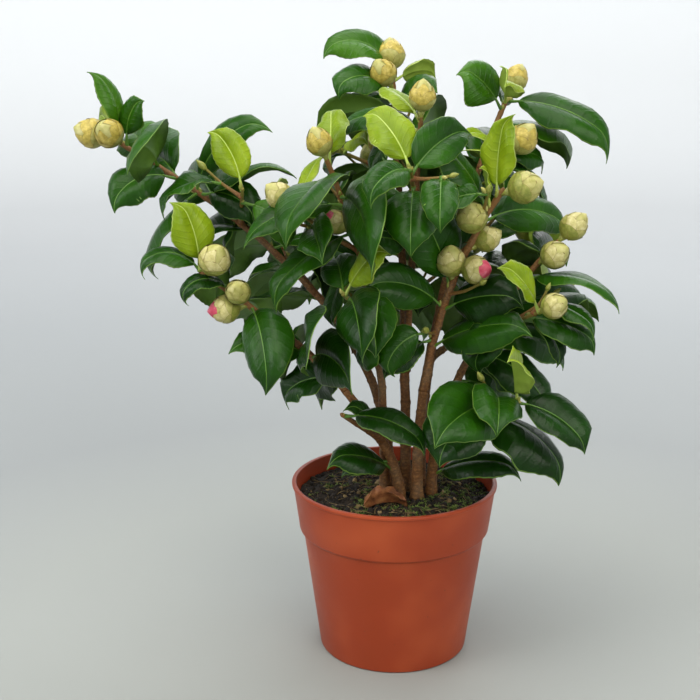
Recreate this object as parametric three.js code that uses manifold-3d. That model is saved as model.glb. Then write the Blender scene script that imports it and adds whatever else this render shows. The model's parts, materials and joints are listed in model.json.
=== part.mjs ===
// A young camellia shrub in its round nursery pot. Millimetres, +Z up, origin at the centre of the
// pot's flat underside, the plant's fuller face towards -Y.
import * as THREE from "three";
import Module from "manifold-3d";

const wasm = await Module();
wasm.setup();

// The pot: a thin moulded wall, a band at the top and a ledge where the band steps in.
const POT_HEIGHT = 102;
const RIM_RADIUS = 60;
const LIP_HEIGHT = 2.2;
const LIP_DEPTH = 0.9;
const BAND_FOOT_RADIUS = 55.6;
const LEDGE_HEIGHT = 74;
const LEDGE_STEP = 2.2;
const FOOT_RADIUS = 43.5;
const WALL = 1.6;
const FLOOR = 2;
const HOLE_RADIUS = 4;
const HOLE_RING = 33;
const HOLES = 6;
const ROUND = 48;

// The root ball, which fills the pot, and the withered leaf on it.
const SOIL_HEIGHT = 95;
const SOIL_FLAT_RADIUS = 34;
const SOIL_EDGE_DROP = 1.8;
const CLEAR = 0.3;
const DEAD_LEAF = { base: [-17, -29, 95.4], turn: 10, rise: 28, droop: 62, length: 28, width: 15, roll: 20 };

// Limbs. Each runs from its foot to its end: sideways as a power of its height, so that it starts
// upright and leans out. `part` is the share of it below the leaves, `bow` the power.
const SIDES = 8;
const FLARE = 0.32;
const FLARE_HEIGHT = 7;
const LIMBS = [
  {
    name: "front", foot: [13, -11], end: [56, -29, 276],
    bow: 2.6, radius: [3.3, 1.5], part: 0.36, seed: 11,
  },
  {
    name: "right", foot: [21.5, -4], end: [88, -22, 248],
    bow: 2, radius: [3, 1.4], part: 0.42, seed: 23,
  },
  {
    name: "left", foot: [3, -9], end: [-106, -31, 231],
    bow: 1.7, radius: [3, 1.4], part: 0.48, seed: 35,
  },
  {
    name: "mid_left", foot: [-5.5, -1.5], end: [-38, -30, 292],
    bow: 2.4, radius: [2.8, 1.3], part: 0.4, seed: 47,
  },
  {
    name: "back_left", foot: [-2.5, 8.5], end: [-166, 20, 300],
    bow: 2.3, radius: [3.1, 1.3], part: 0.56, seed: 59,
  },
  {
    name: "back", foot: [6.5, 2.5], end: [-3, 40, 334],
    bow: 2, radius: [3.3, 1.4], part: 0.48, seed: 61,
  },
  {
    name: "back_right", foot: [15.5, 9.5], end: [64, 40, 322],
    bow: 2.1, radius: [2.9, 1.4], part: 0.42, seed: 73,
  },
];

// Boughs leave a limb at the share `at` of its height.
const BOUGHS = [
  {
    name: "low_right", from: "right", at: 0.28, end: [66, -46, 164],
    bow: 1, radius: [2, 1.2], part: 0.4, seed: 83,
  },
  {
    name: "low_front", from: "left", at: 0.26, end: [-30, -36, 153],
    bow: 1, radius: [1.9, 1.2], part: 0.4, seed: 95,
  },
  {
    name: "low_back", from: "back", at: 0.34, end: [12, 84, 214],
    bow: 1.1, radius: [2.2, 1.2], part: 0.4, seed: 107,
  },
  {
    name: "side_back", from: "back_left", at: 0.4, end: [-78, 66, 236],
    bow: 1.1, radius: [2.2, 1.2], part: 0.4, seed: 119,
  },
  {
    name: "middle", from: "back", at: 0.3, end: [12, -26, 314],
    bow: 0.9, radius: [2.3, 1.2], part: 0.3, seed: 131,
  },
  {
    name: "side_right", from: "back_right", at: 0.34, end: [92, 44, 206],
    bow: 1.1, radius: [2.1, 1.2], part: 0.4, seed: 121,
  },
];

// How each leaf mass grows from the end of its limb.
const INTERNODE = 11;
const SPIRAL = 137.5;
const TWIG_LENGTH = [30, 46];
const TWIG_RADIUS = [1.3, 0.9];
const TWIG_SIDES = 6;
const LEAF_LENGTH = [54, 72];
const LEAF_SLENDER = [0.48, 0.58];
const LEAF_DROOP = [50, 100];
const LEAF_RISE = [-8, 42];
const YOUNG_RISE = [58, 82];
const YOUNG_LENGTH = [36, 46];
const LEAF_FACING = 58;
const LEAF_FOLD = 0.42;
const LEAF_CURL = 0.6;
const LEAF_HALF_THICK = 0.75;
const STALK = 7;
const STALK_HALF = 1;
const BUD_LENGTH = [16, 20];
const BUD_SLENDER = [0.74, 0.86];
const SPACE_SHARED = 14;
const LEAF_GAP = 5.5;
const LIMB_GAP = 4;
const TWIG_GAP = 5;
const BUD_GAP = 4;
const CROWN_MIN = [-178, -108, 107];
const CROWN_MAX = [120, 112, 356];

// What each mass carries: side twigs, buds as place on the limb, turn, size and, where it isn't 10
// degrees, how far they lean up, the turns that it leaves open, how far its leaves are spread, and the
// leaves that give it its face.
const MASSES = {
  front: {
    twigs: 0, open: [-150, -2],
    buds: [
      [0.97, -20, 0.9, -10],
      [0.54, -130, 0.7, 55],
      [0.6, -50, 0.6, -30],
      [0.7, 20, 0.2, 0],
      [0.78, -130, 0.8, 20],
    ],
    leaves: [
      { at: 0.41, turn: -27, rise: 28, droop: 36, length: 43, width: 32, roll: -55 },
      { at: 0.22, turn: -33, rise: 34, droop: 36, length: 59, width: 32, roll: -40 },
      { at: 0.51, turn: -150, rise: 76, droop: 34, length: 54, width: 36, roll: 44 },
      { at: 0.42, turn: -159, rise: 42, droop: 60, length: 48, width: 30, roll: 12 },
      { at: 0.95, turn: -52, rise: 93, droop: 20, length: 40, width: 22, roll: -136, young: true },
      { at: 0.9, turn: -112, rise: 66, droop: 20, length: 24, width: 11, roll: 0, young: true },
      { at: 0.84, turn: 32, rise: 18, droop: 62, length: 62, width: 28, roll: -5 },
      { at: 0.88, turn: -167, rise: 68, droop: 50, length: 62, width: 28, roll: -2 },
      { at: 0.26, turn: -151, rise: -7, droop: 50, length: 33, width: 24, roll: -35 },
    ],
  },
  right: {
    twigs: 1,
    buds: [[1, 0, 0.4], [0.84, -60, 0.5]],
    leaves: [
      { at: 0.74, turn: -24, rise: 16, droop: 60, length: 54, width: 28, roll: -10 },
      { at: 0.25, turn: -27, rise: -3, droop: 70, length: 55, width: 30, roll: -43 },
    ],
  },
  left: {
    twigs: 0, spread: 2.4,
    buds: [[0.96, -20, 0.9], [0.76, -60, 0.2], [0.72, -150, 0.6, -35]],
    leaves: [
      { at: 1, turn: -170, rise: 88, droop: 30, length: 35, width: 27, roll: 65, young: true },
      { at: 0.98, turn: -174, rise: 50, droop: 120, length: 40, width: 21, roll: 10 },
      { at: 0.81, turn: -154, rise: 48, droop: 130, length: 35, width: 18, roll: 24 },
      { at: 0.28, turn: -160, rise: 33, droop: 50, length: 45, width: 28, roll: 44 },
    ],
  },
  mid_left: {
    twigs: 2,
    buds: [[1, 0, 0.2], [0.64, -160, 0.1]],
    leaves: [
      { at: 0.65, turn: -149, rise: -15, droop: 40, length: 59, width: 30, roll: 1 },
      { at: 0.78, turn: -157, rise: 5, droop: 50, length: 57, width: 30, roll: 3 },
      { at: 0.8, turn: -36, rise: 4, droop: 44, length: 42, width: 27, roll: -16 },
    ],
  },
  back_left: {
    twigs: 1, spread: 1.4,
    buds: [[0.96, -160, 0.8], [0.94, -70, 0.7], [0.88, -150, 0.3]],
    leaves: [
      { at: 0.95, turn: -159, rise: 97, droop: 60, length: 39, width: 19, roll: 71 },
      { at: 0.92, turn: -29, rise: 88, droop: 60, length: 26, width: 20, roll: -67 },
      { at: 0.73, turn: -152, rise: 15, droop: 90, length: 42, width: 31, roll: 74 },
      { at: 0.65, turn: -13, rise: 73, droop: 70, length: 59, width: 26, roll: -50 },
      { at: 0.63, turn: -31, rise: 11, droop: 70, length: 40, width: 27, roll: -19 },
    ],
  },
  back: {
    twigs: 2, open: [-176, -140],
    buds: [[1, 0, 0.7], [0.96, 10, 0.6], [0.92, -120, 0.5], [0.62, -170, 0.5]],
    leaves: [
      { at: 1, turn: -171, rise: 60, droop: 110, length: 45, width: 29, roll: 96 },
      { at: 0.89, turn: -154, rise: 48, droop: 110, length: 40, width: 29, roll: 88 },
      { at: 0.81, turn: -33, rise: 60, droop: 80, length: 29, width: 25, roll: -103 },
    ],
  },
  back_right: {
    twigs: 2,
    buds: [[1, 0, 0.3]],
    leaves: [
      { at: 0.97, turn: -21, rise: 1, droop: 50, length: 68, width: 33, roll: -76 },
      { at: 0.93, turn: -164, rise: 59, droop: 40, length: 30, width: 36, roll: 73 },
    ],
  },
  low_right: {
    twigs: 0, open: [160, 260], spread: 2.2,
    buds: [],
    leaves: [
      { at: 0.24, turn: -133, rise: -4, droop: 60, length: 40, width: 40, roll: -32 },
    ],
  },
  low_front: {
    twigs: 0, open: [-181, 181],
    buds: [],
    leaves: [
      { at: 0.87, turn: -22, rise: 10, droop: 56, length: 48, width: 29, roll: 42 },
    ],
  },
  low_back: {
    twigs: 1,
    buds: [[1, 0, 0.4]],
    leaves: [],
  },
  side_back: {
    twigs: 1,
    buds: [[1, 0, 0.4]],
    leaves: [],
  },
  side_right: {
    twigs: 1,
    buds: [[1, 0, 0.4]],
    leaves: [],
  },
  middle: {
    twigs: 2, open: [-85, 20],
    buds: [[1, 0, 0.3]],
    leaves: [
      { at: 0.88, turn: 150, rise: 36, droop: 84, length: 54, width: 26, roll: 0 },
      { at: 0.28, turn: -146, rise: 31, droop: 50, length: 34, width: 24, roll: 3 },
    ],
  },
};

const radians = (degrees) => (degrees * Math.PI) / 180;
const add = (a, b, k = 1) => [a[0] + b[0] * k, a[1] + b[1] * k, a[2] + b[2] * k];
const dot = (a, b) => a[0] * b[0] + a[1] * b[1] + a[2] * b[2];
const unit = (a) => {
  const size = Math.hypot(a[0], a[1], a[2]);
  return [a[0] / size, a[1] / size, a[2] / size];
};
const cross = (a, b) => [
  a[1] * b[2] - a[2] * b[1],
  a[2] * b[0] - a[0] * b[2],
  a[0] * b[1] - a[1] * b[0],
];
const between = (range, share) => range[0] + (range[1] - range[0]) * share;

// A stream of numbers from 0 to 1 that a seed fixes.
function stream(seed) {
  let state = seed >>> 0;
  return () => {
    state = (state + 0x6d2b79f5) >>> 0;
    let mixed = Math.imul(state ^ (state >>> 15), 1 | state);
    mixed = (mixed + Math.imul(mixed ^ (mixed >>> 7), 61 | mixed)) ^ mixed;
    return ((mixed ^ (mixed >>> 14)) >>> 0) / 4294967296;
  };
}

// The least distance from a point to a line of points.
function distanceTo(points, p) {
  let least = Infinity;
  for (let i = 1; i < points.length; i += 1) {
    const edge = add(points[i], points[i - 1], -1);
    const from = add(p, points[i - 1], -1);
    const share = Math.min(1, Math.max(0, dot(from, edge) / dot(edge, edge)));
    const rest = add(from, edge, -share);
    least = Math.min(least, Math.hypot(rest[0], rest[1], rest[2]));
  }
  return least;
}

// One closed body from its points and faces.
function solid(points, faces) {
  const mesh = new wasm.Mesh({
    numProp: 3,
    vertProperties: new Float32Array(points.flat()),
    triVerts: new Uint32Array(faces.flat()),
  });
  mesh.merge();
  return new wasm.Manifold(mesh);
}

// Skin over rings of equal count, closed by a fan at each end.
function loft(rings) {
  const count = rings[0].length;
  const points = rings.flat();
  const faces = [];
  for (let i = 0; i + 1 < rings.length; i += 1) {
    for (let j = 0; j < count; j += 1) {
      const a = i * count + j;
      const b = i * count + ((j + 1) % count);
      faces.push([a, b, b + count], [a, b + count, a + count]);
    }
  }
  const last = (rings.length - 1) * count;
  for (let j = 1; j + 1 < count; j += 1) {
    faces.push([0, j + 1, j], [last, last + j, last + j + 1]);
  }
  return solid(points, faces);
}

// A point of a limb at the share u of its height.
function limbPoint(limb, u) {
  const side = u ** limb.bow;
  const foot = limb.start;
  return [
    foot[0] + (limb.end[0] - foot[0]) * side,
    foot[1] + (limb.end[1] - foot[1]) * side,
    foot[2] + (limb.end[2] - foot[2]) * u,
  ];
}

function limbRadius(limb, u) {
  const plain = between(limb.radius, u);
  const height = (limb.end[2] - limb.start[2]) * u;
  return limb.from ? plain : plain * (1 + FLARE * Math.exp(-height / FLARE_HEIGHT));
}

// A tapering tube on the shares from `low` to `high` of a limb, each ring square to its course.
function limbTube(limb, low, high, steps, sides, swell = 0) {
  const rings = [];
  for (let i = 0; i <= steps; i += 1) {
    const grade = i / steps;
    const u = low + (high - low) * (low === 0 && !limb.from ? grade ** 1.35 : grade);
    const level = u === 0 && !limb.from;
    const before = limbPoint(limb, u - 0.01 * (u > 0.01));
    const course = level ? [0, 0, 1] : unit(add(limbPoint(limb, u + 0.01), before, -1));
    rings.push(ring(limbPoint(limb, u), course, limbRadius(limb, u) + swell, sides));
  }
  return loft(rings);
}

function ring(centre, course, radius, sides) {
  const across = unit(cross([0.31, 0.94, 0.12], course));
  const over = cross(course, across);
  return Array.from({ length: sides }, (_, j) => {
    const angle = (2 * Math.PI * j) / sides;
    return add(add(centre, across, radius * Math.cos(angle)), over, radius * Math.sin(angle));
  });
}

// A straight or gently rising twig of a mass: a line of points and a radius at each end.
function twigPoints(twig, count = 4) {
  return Array.from({ length: count + 1 }, (_, i) => axisPoint(twig, i / count));
}

// A point at the share t of an axis: the leafy end of a limb, or a side twig that curves upwards.
function axisPoint(axis, t) {
  if (axis.limb) return limbPoint(axis.limb, axis.limb.part + (1 - axis.limb.part) * t);
  const lift = 0.16 * axis.length * t * t;
  return add(add(axis.base, axis.heading, axis.length * t), [0, 0, 1], lift);
}

function axisCourse(axis, t) {
  return unit(add(axisPoint(axis, t + 0.02), axisPoint(axis, t - 0.02), -1));
}

function headingOf(turn, rise) {
  const level = Math.cos(radians(rise));
  return [level * Math.cos(radians(turn)), level * Math.sin(radians(turn)), Math.sin(radians(rise))];
}

// The midrib runs towards `turn`, starts `rise` above the level and bends down along an arc.
function leafFrame(leaf, t) {
  const start = radians(leaf.rise);
  const arc = radians(leaf.droop);
  const now = start - arc * t;
  const out = [Math.cos(radians(leaf.turn)), Math.sin(radians(leaf.turn)), 0];
  const along = (leaf.length / arc) * (Math.sin(start) - Math.sin(now));
  const up = (leaf.length / arc) * (Math.cos(now) - Math.cos(start));
  const course = add([0, 0, Math.sin(now)], out, Math.cos(now));
  const normal = add([0, 0, Math.cos(now)], out, -Math.sin(now));
  const side = cross(course, normal);
  const roll = radians(leaf.roll);
  const hook = 0.07 * leaf.length * Math.max(0, (t - 0.72) / 0.28) ** 2;
  const middle = add(add(leaf.base, out, along), [0, 0, 1], up);
  return {
    point: add(middle, normal, -hook),
    side: add(add([0, 0, 0], side, Math.cos(roll)), normal, Math.sin(roll)),
    normal: add(add([0, 0, 0], normal, Math.cos(roll)), side, -Math.sin(roll)),
  };
}

// Half the blade's width at the share t of its length: widest before the middle, a drawn-out tip.
function halfWidth(leaf, t) {
  const tip = Math.min(1, Math.max(0, (t - 0.78) / 0.2));
  const plain = (t ** 0.6 * (1 - t) ** 0.85) / 0.374;
  return Math.max(0.35, (leaf.width / 2) * plain * (1 - 0.35 * tip));
}

// A point of the blade: s from -1 to 1 across it, which rises from the midrib and rolls down.
function leafPoint(leaf, t, s, lift = 0) {
  const frame = leafFrame(leaf, t);
  const half = halfWidth(leaf, t);
  const height = half * (LEAF_FOLD * Math.abs(s) - LEAF_CURL * Math.abs(s) ** 3);
  return add(add(frame.point, frame.side, half * s), frame.normal, height + lift);
}

function leafSamples(leaf) {
  const samples = [];
  for (let i = 0; i <= 10; i += 1) {
    const t = 0.08 + 0.092 * i;
    for (let j = 0; j < 6; j += 1) samples.push({ p: leafPoint(leaf, t, -1 + 0.4 * j), t });
  }
  return samples;
}

// The blade and its stalk as one thin closed body, thickest on the midrib, its root on the twig's line.
function leafBody(leaf) {
  const first = leafFrame(leaf, 0);
  const stalkRing = (centre) => [
    add(centre, first.side, -STALK_HALF),
    add(centre, first.normal, STALK_HALF),
    add(centre, first.side, STALK_HALF),
    add(centre, first.normal, -STALK_HALF),
  ];
  const rings = [stalkRing(leaf.root), stalkRing(add(leaf.base, add(leaf.base, leaf.root, -1), -0.12))];
  for (const t of [0.1, 0.32, 0.58, 0.82, 1]) {
    const half = t === 1 ? 0.3 : LEAF_HALF_THICK;
    const [upper, lower] = [leafPoint(leaf, t, 0, half), leafPoint(leaf, t, 0, -half)];
    rings.push([leafPoint(leaf, t, -1), upper, leafPoint(leaf, t, 1), lower]);
  }
  return loft(rings);
}

// A plump bud on a short stalk.
function budBody(bud) {
  const rings = [ring(bud.root, bud.course, 1.2, TWIG_SIDES)];
  const shape = [[0.02, 0.34], [0.24, 0.86], [0.52, 1], [0.8, 0.68], [1, 0.12]];
  for (const [share, wide] of shape) {
    rings.push(ring(add(bud.base, bud.course, bud.length * share), bud.course, bud.radius * wide, TWIG_SIDES));
  }
  return loft(rings);
}

// Everything that grows, filled in the order in which it is placed.
const limbs = [];
const axes = [];
const leaves = [];
const buds = [];

function layLimbs() {
  for (const limb of LIMBS) limbs.push({ ...limb, start: [...limb.foot, SOIL_HEIGHT + CLEAR] });
  for (const bough of BOUGHS) {
    const parent = limbs.find((limb) => limb.name === bough.from);
    limbs.push({ ...bough, start: limbPoint(parent, bough.at) });
  }
  for (const limb of limbs) {
    limb.line = Array.from({ length: 13 }, (_, i) => limbPoint(limb, (limb.part * i) / 12));
    limb.leafy = Array.from({ length: 7 }, (_, i) => limbPoint(limb, limb.part + ((1 - limb.part) * i) / 6));
    const radius = [limbRadius(limb, limb.part), limb.radius[1]];
    axes.push({ mass: limb.name, limb, points: limb.leafy, radius });
  }
}

// A mass's own space is what lies nearer to its own leafy end than to any other. A leaf may reach
// SPACE_SHARED into the border, where it stays LEAF_GAP off every leaf of the next mass.
function inOwnSpace(mass, p, margin) {
  const own = distanceTo(limbs.find((limb) => limb.name === mass).leafy, p);
  return limbs.every((limb) => limb.name === mass || distanceTo(limb.leafy, p) > own + margin);
}

function inCrown(p) {
  const overPot = Math.hypot(p[0], p[1]) < RIM_RADIUS + 3;
  return p.every((v, i) => v > CROWN_MIN[i] && v < CROWN_MAX[i]) && (!overPot || p[2] > POT_HEIGHT + 4);
}

function clearOfLimbs(p, gap) {
  return limbs.every((limb) => distanceTo(limb.line, p) > limb.radius[0] + gap);
}

// Side twigs leave the leafy end of a limb, each the first of its turns that fits the space.
function layTwigs(limb) {
  const random = stream(limb.seed);
  const wanted = MASSES[limb.name].twigs;
  for (let i = 0; i < wanted; i += 1) {
    const main = axes.find((axis) => axis.limb === limb);
    const base = axisPoint(main, 0.12 + (0.55 * (i + 0.6)) / wanted);
    const first = 360 * random();
    const rise = between([8, 46], random());
    const length = between(TWIG_LENGTH, random());
    for (let k = 0; k < 12; k += 1) {
      const heading = headingOf(first + k * SPIRAL, rise);
      const twig = { mass: limb.name, base, heading, length, radius: TWIG_RADIUS };
      twig.points = twigPoints(twig);
      const angle = Math.abs(dot(twig.heading, axisCourse(main, 0.4)));
      const fits = (p) => inOwnSpace(limb.name, p, 8) && inCrown(p) && clearOfLimbs(p, 8);
      const free = twig.points.slice(1).every(fits);
      if (angle < 0.8 && free) {
        axes.push(twig);
        break;
      }
    }
  }
}

function layBud(axis, t, turn, tilt, size, lift) {
  const course = axisCourse(axis, t);
  const heading = unit(add(course, headingOf(turn, lift), tilt));
  const root = axisPoint(axis, t);
  const length = between(BUD_LENGTH, size);
  const radius = (length / 2) * between(BUD_SLENDER, size);
  const bud = { mass: axis.mass, root, course: heading, length, radius };
  bud.base = add(root, heading, tilt > 0 ? 5 : 1.5);
  bud.root = add(root, heading, tilt > 0 ? 0 : -3);
  bud.centre = add(bud.base, heading, length / 2);
  const apart = buds.every((other) => {
    const gap = add(other.centre, bud.centre, -1);
    return Math.hypot(gap[0], gap[1], gap[2]) > 0.86 * (other.radius + bud.radius);
  });
  const own = inOwnSpace(axis.mass, bud.centre, 2 * radius + 1);
  if (apart && own && clearOfLimbs(bud.centre, radius + 1)) {
    buds.push(bud);
  }
}

// A bud closes the tip of each side twig. Those of a limb stand where its mass says.
function layBuds(axis) {
  const random = stream(axis.seed);
  const given = axis.limb ? MASSES[axis.mass].buds : [[1, 0, random()]];
  for (const [at, turn, size, lift = 10] of given) {
    layBud(axis, at, turn, at === 1 ? 0 : 1.3, size, lift);
  }
}

function rootLeaf(leaf, axis) {
  leaf.mass = axis.mass;
  leaf.axis = axis;
  leaf.root = axisPoint(axis, leaf.at);
  leaf.base = add(leaf.root, headingOf(leaf.turn, leaf.rise), STALK);
  leaf.samples = leafSamples(leaf);
  leaf.middle = leafPoint(leaf, 0.5, 0);
  return leaf;
}

function leafFits(leaf) {
  const inside = leaf.samples.every(
    ({ p }) => inCrown(p) && clearOfLimbs(p, LIMB_GAP) && inOwnSpace(leaf.mass, p, -SPACE_SHARED),
  );
  if (!inside) return false;
  const offTwigs = leaf.samples.every(({ p, t }) =>
    axes.every((axis) => distanceTo(axis.points, p) > (axis === leaf.axis && t < 0.4 ? 0 : TWIG_GAP)),
  );
  if (!offTwigs) return false;
  const offBuds = leaf.samples.every(({ p }) =>
    buds.every((bud) => Math.hypot(...add(bud.centre, p, -1)) > bud.radius + BUD_GAP),
  );
  if (!offBuds) return false;
  return leaves.every((other) => Math.hypot(...add(other.middle, leaf.middle, -1)) > 90 || apart(other, leaf));
}

function apart(one, other) {
  return one.samples.every((a) =>
    other.samples.every((b) => {
      const atRoots = one.mass === other.mass && a.t < 0.3 && b.t < 0.3;
      return atRoots || Math.hypot(a.p[0] - b.p[0], a.p[1] - b.p[1], a.p[2] - b.p[2]) > LEAF_GAP;
    }),
  );
}

// A leaf turns its face outwards: its roll tips the upper side away from the pot's axis.
function facingRoll(leaf, axis) {
  const at = axisPoint(axis, leaf.at);
  const out = unit([at[0] + 0.001, at[1], 0]);
  const side = [Math.sin(radians(leaf.turn)), -Math.cos(radians(leaf.turn)), 0];
  return -LEAF_FACING * dot(side, out);
}

function layGivenLeaves(limb) {
  const axis = axes.find((one) => one.limb === limb);
  for (const given of MASSES[limb.name].leaves) {
    leaves.push(rootLeaf({ ...given, roll: facingRoll(given, axis) + given.roll }, axis));
  }
}

function inOpenTurns(axis, turn) {
  const open = MASSES[axis.mass].open;
  const plain = ((((turn + 180) % 360) + 360) % 360) - 180;
  return open !== undefined && plain > open[0] && plain < open[1];
}

// One leaf to a node, turned on by the spiral, the first of its turns and slopes that fits.
function layLeaves(axis) {
  const random = stream(axis.seed + 1000);
  const last = axis.points.length - 1;
  const run = add(axis.points[last], axis.points[0], -1);
  const spacing = INTERNODE * (MASSES[axis.mass].spread ?? 1);
  const nodes = Math.max(3, Math.round(Math.hypot(run[0], run[1], run[2]) / spacing) + 1);
  const start = 360 * random();
  for (let k = 0; k < nodes; k += 1) {
    const at = (axis.limb ? 0.06 : 0.34) + (axis.limb ? 0.9 : 0.6) * (k / (nodes - 1)) ** 0.85;
    const young = k === nodes - 1 && !leaves.some((leaf) => leaf.axis === axis && leaf.young);
    const length = between(young ? YOUNG_LENGTH : LEAF_LENGTH, random()) * (axis.limb ? 1 : 0.92);
    const slender = between(LEAF_SLENDER, random());
    const droop = between(LEAF_DROOP, random()) * (young ? 0.5 : 1);
    const rise = between(young ? YOUNG_RISE : LEAF_RISE, random());
    const sway = between([-22, 22], random());
    const course = axisCourse(axis, at);
    for (let tried = 0; tried < 48; tried += 1) {
      const turn = start + k * SPIRAL + (tried % 12) * 30;
      const size = length * (1 - 0.09 * Math.floor(tried / 12));
      const slope = rise - 14 * Math.floor(tried / 12);
      const leaf = { at, turn, rise: slope, droop, length: size, width: size * slender, young };
      leaf.roll = facingRoll(leaf, axis) + sway;
      const lean = dot(headingOf(turn, leaf.rise), course);
      if (inOpenTurns(axis, turn)) continue;
      if (lean < 0.86 && lean > -0.5 && leafFits(rootLeaf(leaf, axis))) {
        leaves.push(leaf);
        break;
      }
    }
  }
}

function grow() {
  layLimbs();
  limbs.forEach(layTwigs);
  axes.forEach((axis, i) => {
    axis.seed = 7 * i + 3;
  });
  axes.forEach(layBuds);
  limbs.forEach(layGivenLeaves);
  axes.forEach(layLeaves);
}

// Bodies.
function limbBody(limb) {
  const body = limbTube(limb, 0, limb.part, limb.from ? 3 : 9, SIDES);
  if (!limb.from) return body;
  const parent = limbs.find((other) => other.name === limb.from);
  return largest(body.subtract(limbTube(parent, 0, parent.part, 9, SIDES, CLEAR + 0.15)));
}

function largest(body) {
  return body.decompose().reduce((best, one) => (one.volume() > best.volume() ? one : best));
}

function twigBody(axis) {
  if (axis.limb) {
    const { limb } = axis;
    const height = Math.hypot(...add(limbPoint(limb, 1), limbPoint(limb, limb.part), -1));
    const low = limb.part + ((CLEAR + 0.1) / height) * (1 - limb.part);
    return limbTube({ ...limb, from: limb.name }, low, 1, 5, TWIG_SIDES);
  }
  const ringAt = (p, i) => ring(p, axisCourse(axis, i / 4), between(axis.radius, i / 4), TWIG_SIDES);
  return loft(axis.points.map(ringAt));
}

function massBody(limb) {
  const parts = [
    ...axes.filter((axis) => axis.mass === limb.name).map(twigBody),
    ...leaves.filter((leaf) => leaf.mass === limb.name).map(leafBody),
    ...buds.filter((bud) => bud.mass === limb.name).map(budBody),
  ];
  return parts.reduce((whole, one) => whole.add(one));
}

function lathe(profile) {
  const points = [];
  const faces = [];
  const spin = (r, z) => {
    const first = points.length;
    if (r === 0) {
      points.push([0, 0, z]);
      return [first];
    }
    const row = Array.from({ length: ROUND }, (_, j) => {
      const angle = (2 * Math.PI * j) / ROUND;
      points.push([r * Math.cos(angle), r * Math.sin(angle), z]);
      return first + j;
    });
    return row;
  };
  const rows = profile.map(([r, z]) => spin(r, z));
  for (let i = 0; i + 1 < rows.length; i += 1) {
    for (let j = 0; j < ROUND; j += 1) {
      const next = (j + 1) % ROUND;
      const [low, high] = [rows[i], rows[i + 1]];
      if (low.length === 1) faces.push([low[0], high[next], high[j]]);
      else if (high.length === 1) faces.push([low[j], low[next], high[0]]);
      else faces.push([low[j], low[next], high[next]], [low[j], high[next], high[j]]);
    }
  }
  return solid(points, faces);
}

// The inside radius of the pot's wall at a height.
function innerRadius(z) {
  if (z < LEDGE_HEIGHT - 1) {
    const foot = FOOT_RADIUS - WALL;
    return foot + ((BAND_FOOT_RADIUS - LEDGE_STEP - WALL - foot) * z) / LEDGE_HEIGHT;
  }
  const band = BAND_FOOT_RADIUS - WALL;
  const rise = Math.max(0, z - LEDGE_HEIGHT - 1) / (POT_HEIGHT - LEDGE_HEIGHT - 1);
  return band + (RIM_RADIUS - LIP_DEPTH - WALL - band) * rise;
}

function potBody() {
  const neck = BAND_FOOT_RADIUS - LEDGE_STEP;
  const body = lathe([
    [0, 0],
    [FOOT_RADIUS - 1, 0],
    [FOOT_RADIUS, 1.2],
    [neck, LEDGE_HEIGHT - 1.5],
    [BAND_FOOT_RADIUS, LEDGE_HEIGHT],
    [RIM_RADIUS - LIP_DEPTH, POT_HEIGHT - LIP_HEIGHT],
    [RIM_RADIUS, POT_HEIGHT - LIP_HEIGHT + 0.5],
    [RIM_RADIUS, POT_HEIGHT - 0.6],
    [RIM_RADIUS - 0.5, POT_HEIGHT],
    [RIM_RADIUS - LIP_DEPTH - WALL, POT_HEIGHT],
    [BAND_FOOT_RADIUS - WALL, LEDGE_HEIGHT + 1],
    [innerRadius(LEDGE_HEIGHT - 1.01), LEDGE_HEIGHT - 1],
    [innerRadius(FLOOR), FLOOR],
    [0, FLOOR],
  ]);
  let holed = body;
  for (let i = 0; i < HOLES; i += 1) {
    const angle = (2 * Math.PI * (i + 0.5)) / HOLES;
    const x = HOLE_RING * Math.cos(angle);
    const y = HOLE_RING * Math.sin(angle);
    const ends = [-1, FLOOR + 1].map((z) => ring([x, y, z], [0, 0, 1], HOLE_RADIUS, 12));
    const drill = loft(ends);
    holed = holed.subtract(drill);
  }
  return holed;
}

function rootBallBody() {
  const edge = SOIL_HEIGHT - SOIL_EDGE_DROP;
  const ball = lathe([
    [0, FLOOR + CLEAR],
    [innerRadius(FLOOR) - CLEAR - 0.4, FLOOR + CLEAR],
    [innerRadius(LEDGE_HEIGHT - 2) - CLEAR - 0.1, LEDGE_HEIGHT - 2],
    [innerRadius(LEDGE_HEIGHT + 2) - CLEAR - 0.4, LEDGE_HEIGHT + 2.4],
    [innerRadius(edge) - CLEAR - 0.1, edge],
    [SOIL_FLAT_RADIUS, SOIL_HEIGHT],
    [0, SOIL_HEIGHT],
  ]);
  const dead = { ...DEAD_LEAF, root: add(DEAD_LEAF.base, headingOf(DEAD_LEAF.turn, DEAD_LEAF.rise), -5) };
  return largest(ball.add(leafBody(dead)));
}

function finish(hex, roughness) {
  return new THREE.MeshStandardMaterial({ color: hex, roughness, metalness: 0 });
}

const potFinish = () => finish(0xb5502f, 0.45);
const soilFinish = () => finish(0x2f241c, 0.95);
const barkFinish = () => finish(0x8a4c2a, 0.75);
const leafFinish = () => finish(0x2d6a2a, 0.35);

function toMesh(name, body, material) {
  const made = body.getMesh();
  const geometry = new THREE.BufferGeometry();
  const points = new Float32Array(made.numVert * 3);
  for (let i = 0; i < made.numVert; i += 1) {
    points.set(made.vertProperties.subarray(i * made.numProp, i * made.numProp + 3), i * 3);
  }
  geometry.setAttribute("position", new THREE.BufferAttribute(points, 3));
  geometry.setIndex(new THREE.BufferAttribute(made.triVerts, 1));
  geometry.computeVertexNormals();
  const mesh = new THREE.Mesh(geometry, material);
  mesh.name = name;
  return mesh;
}

grow();

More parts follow.
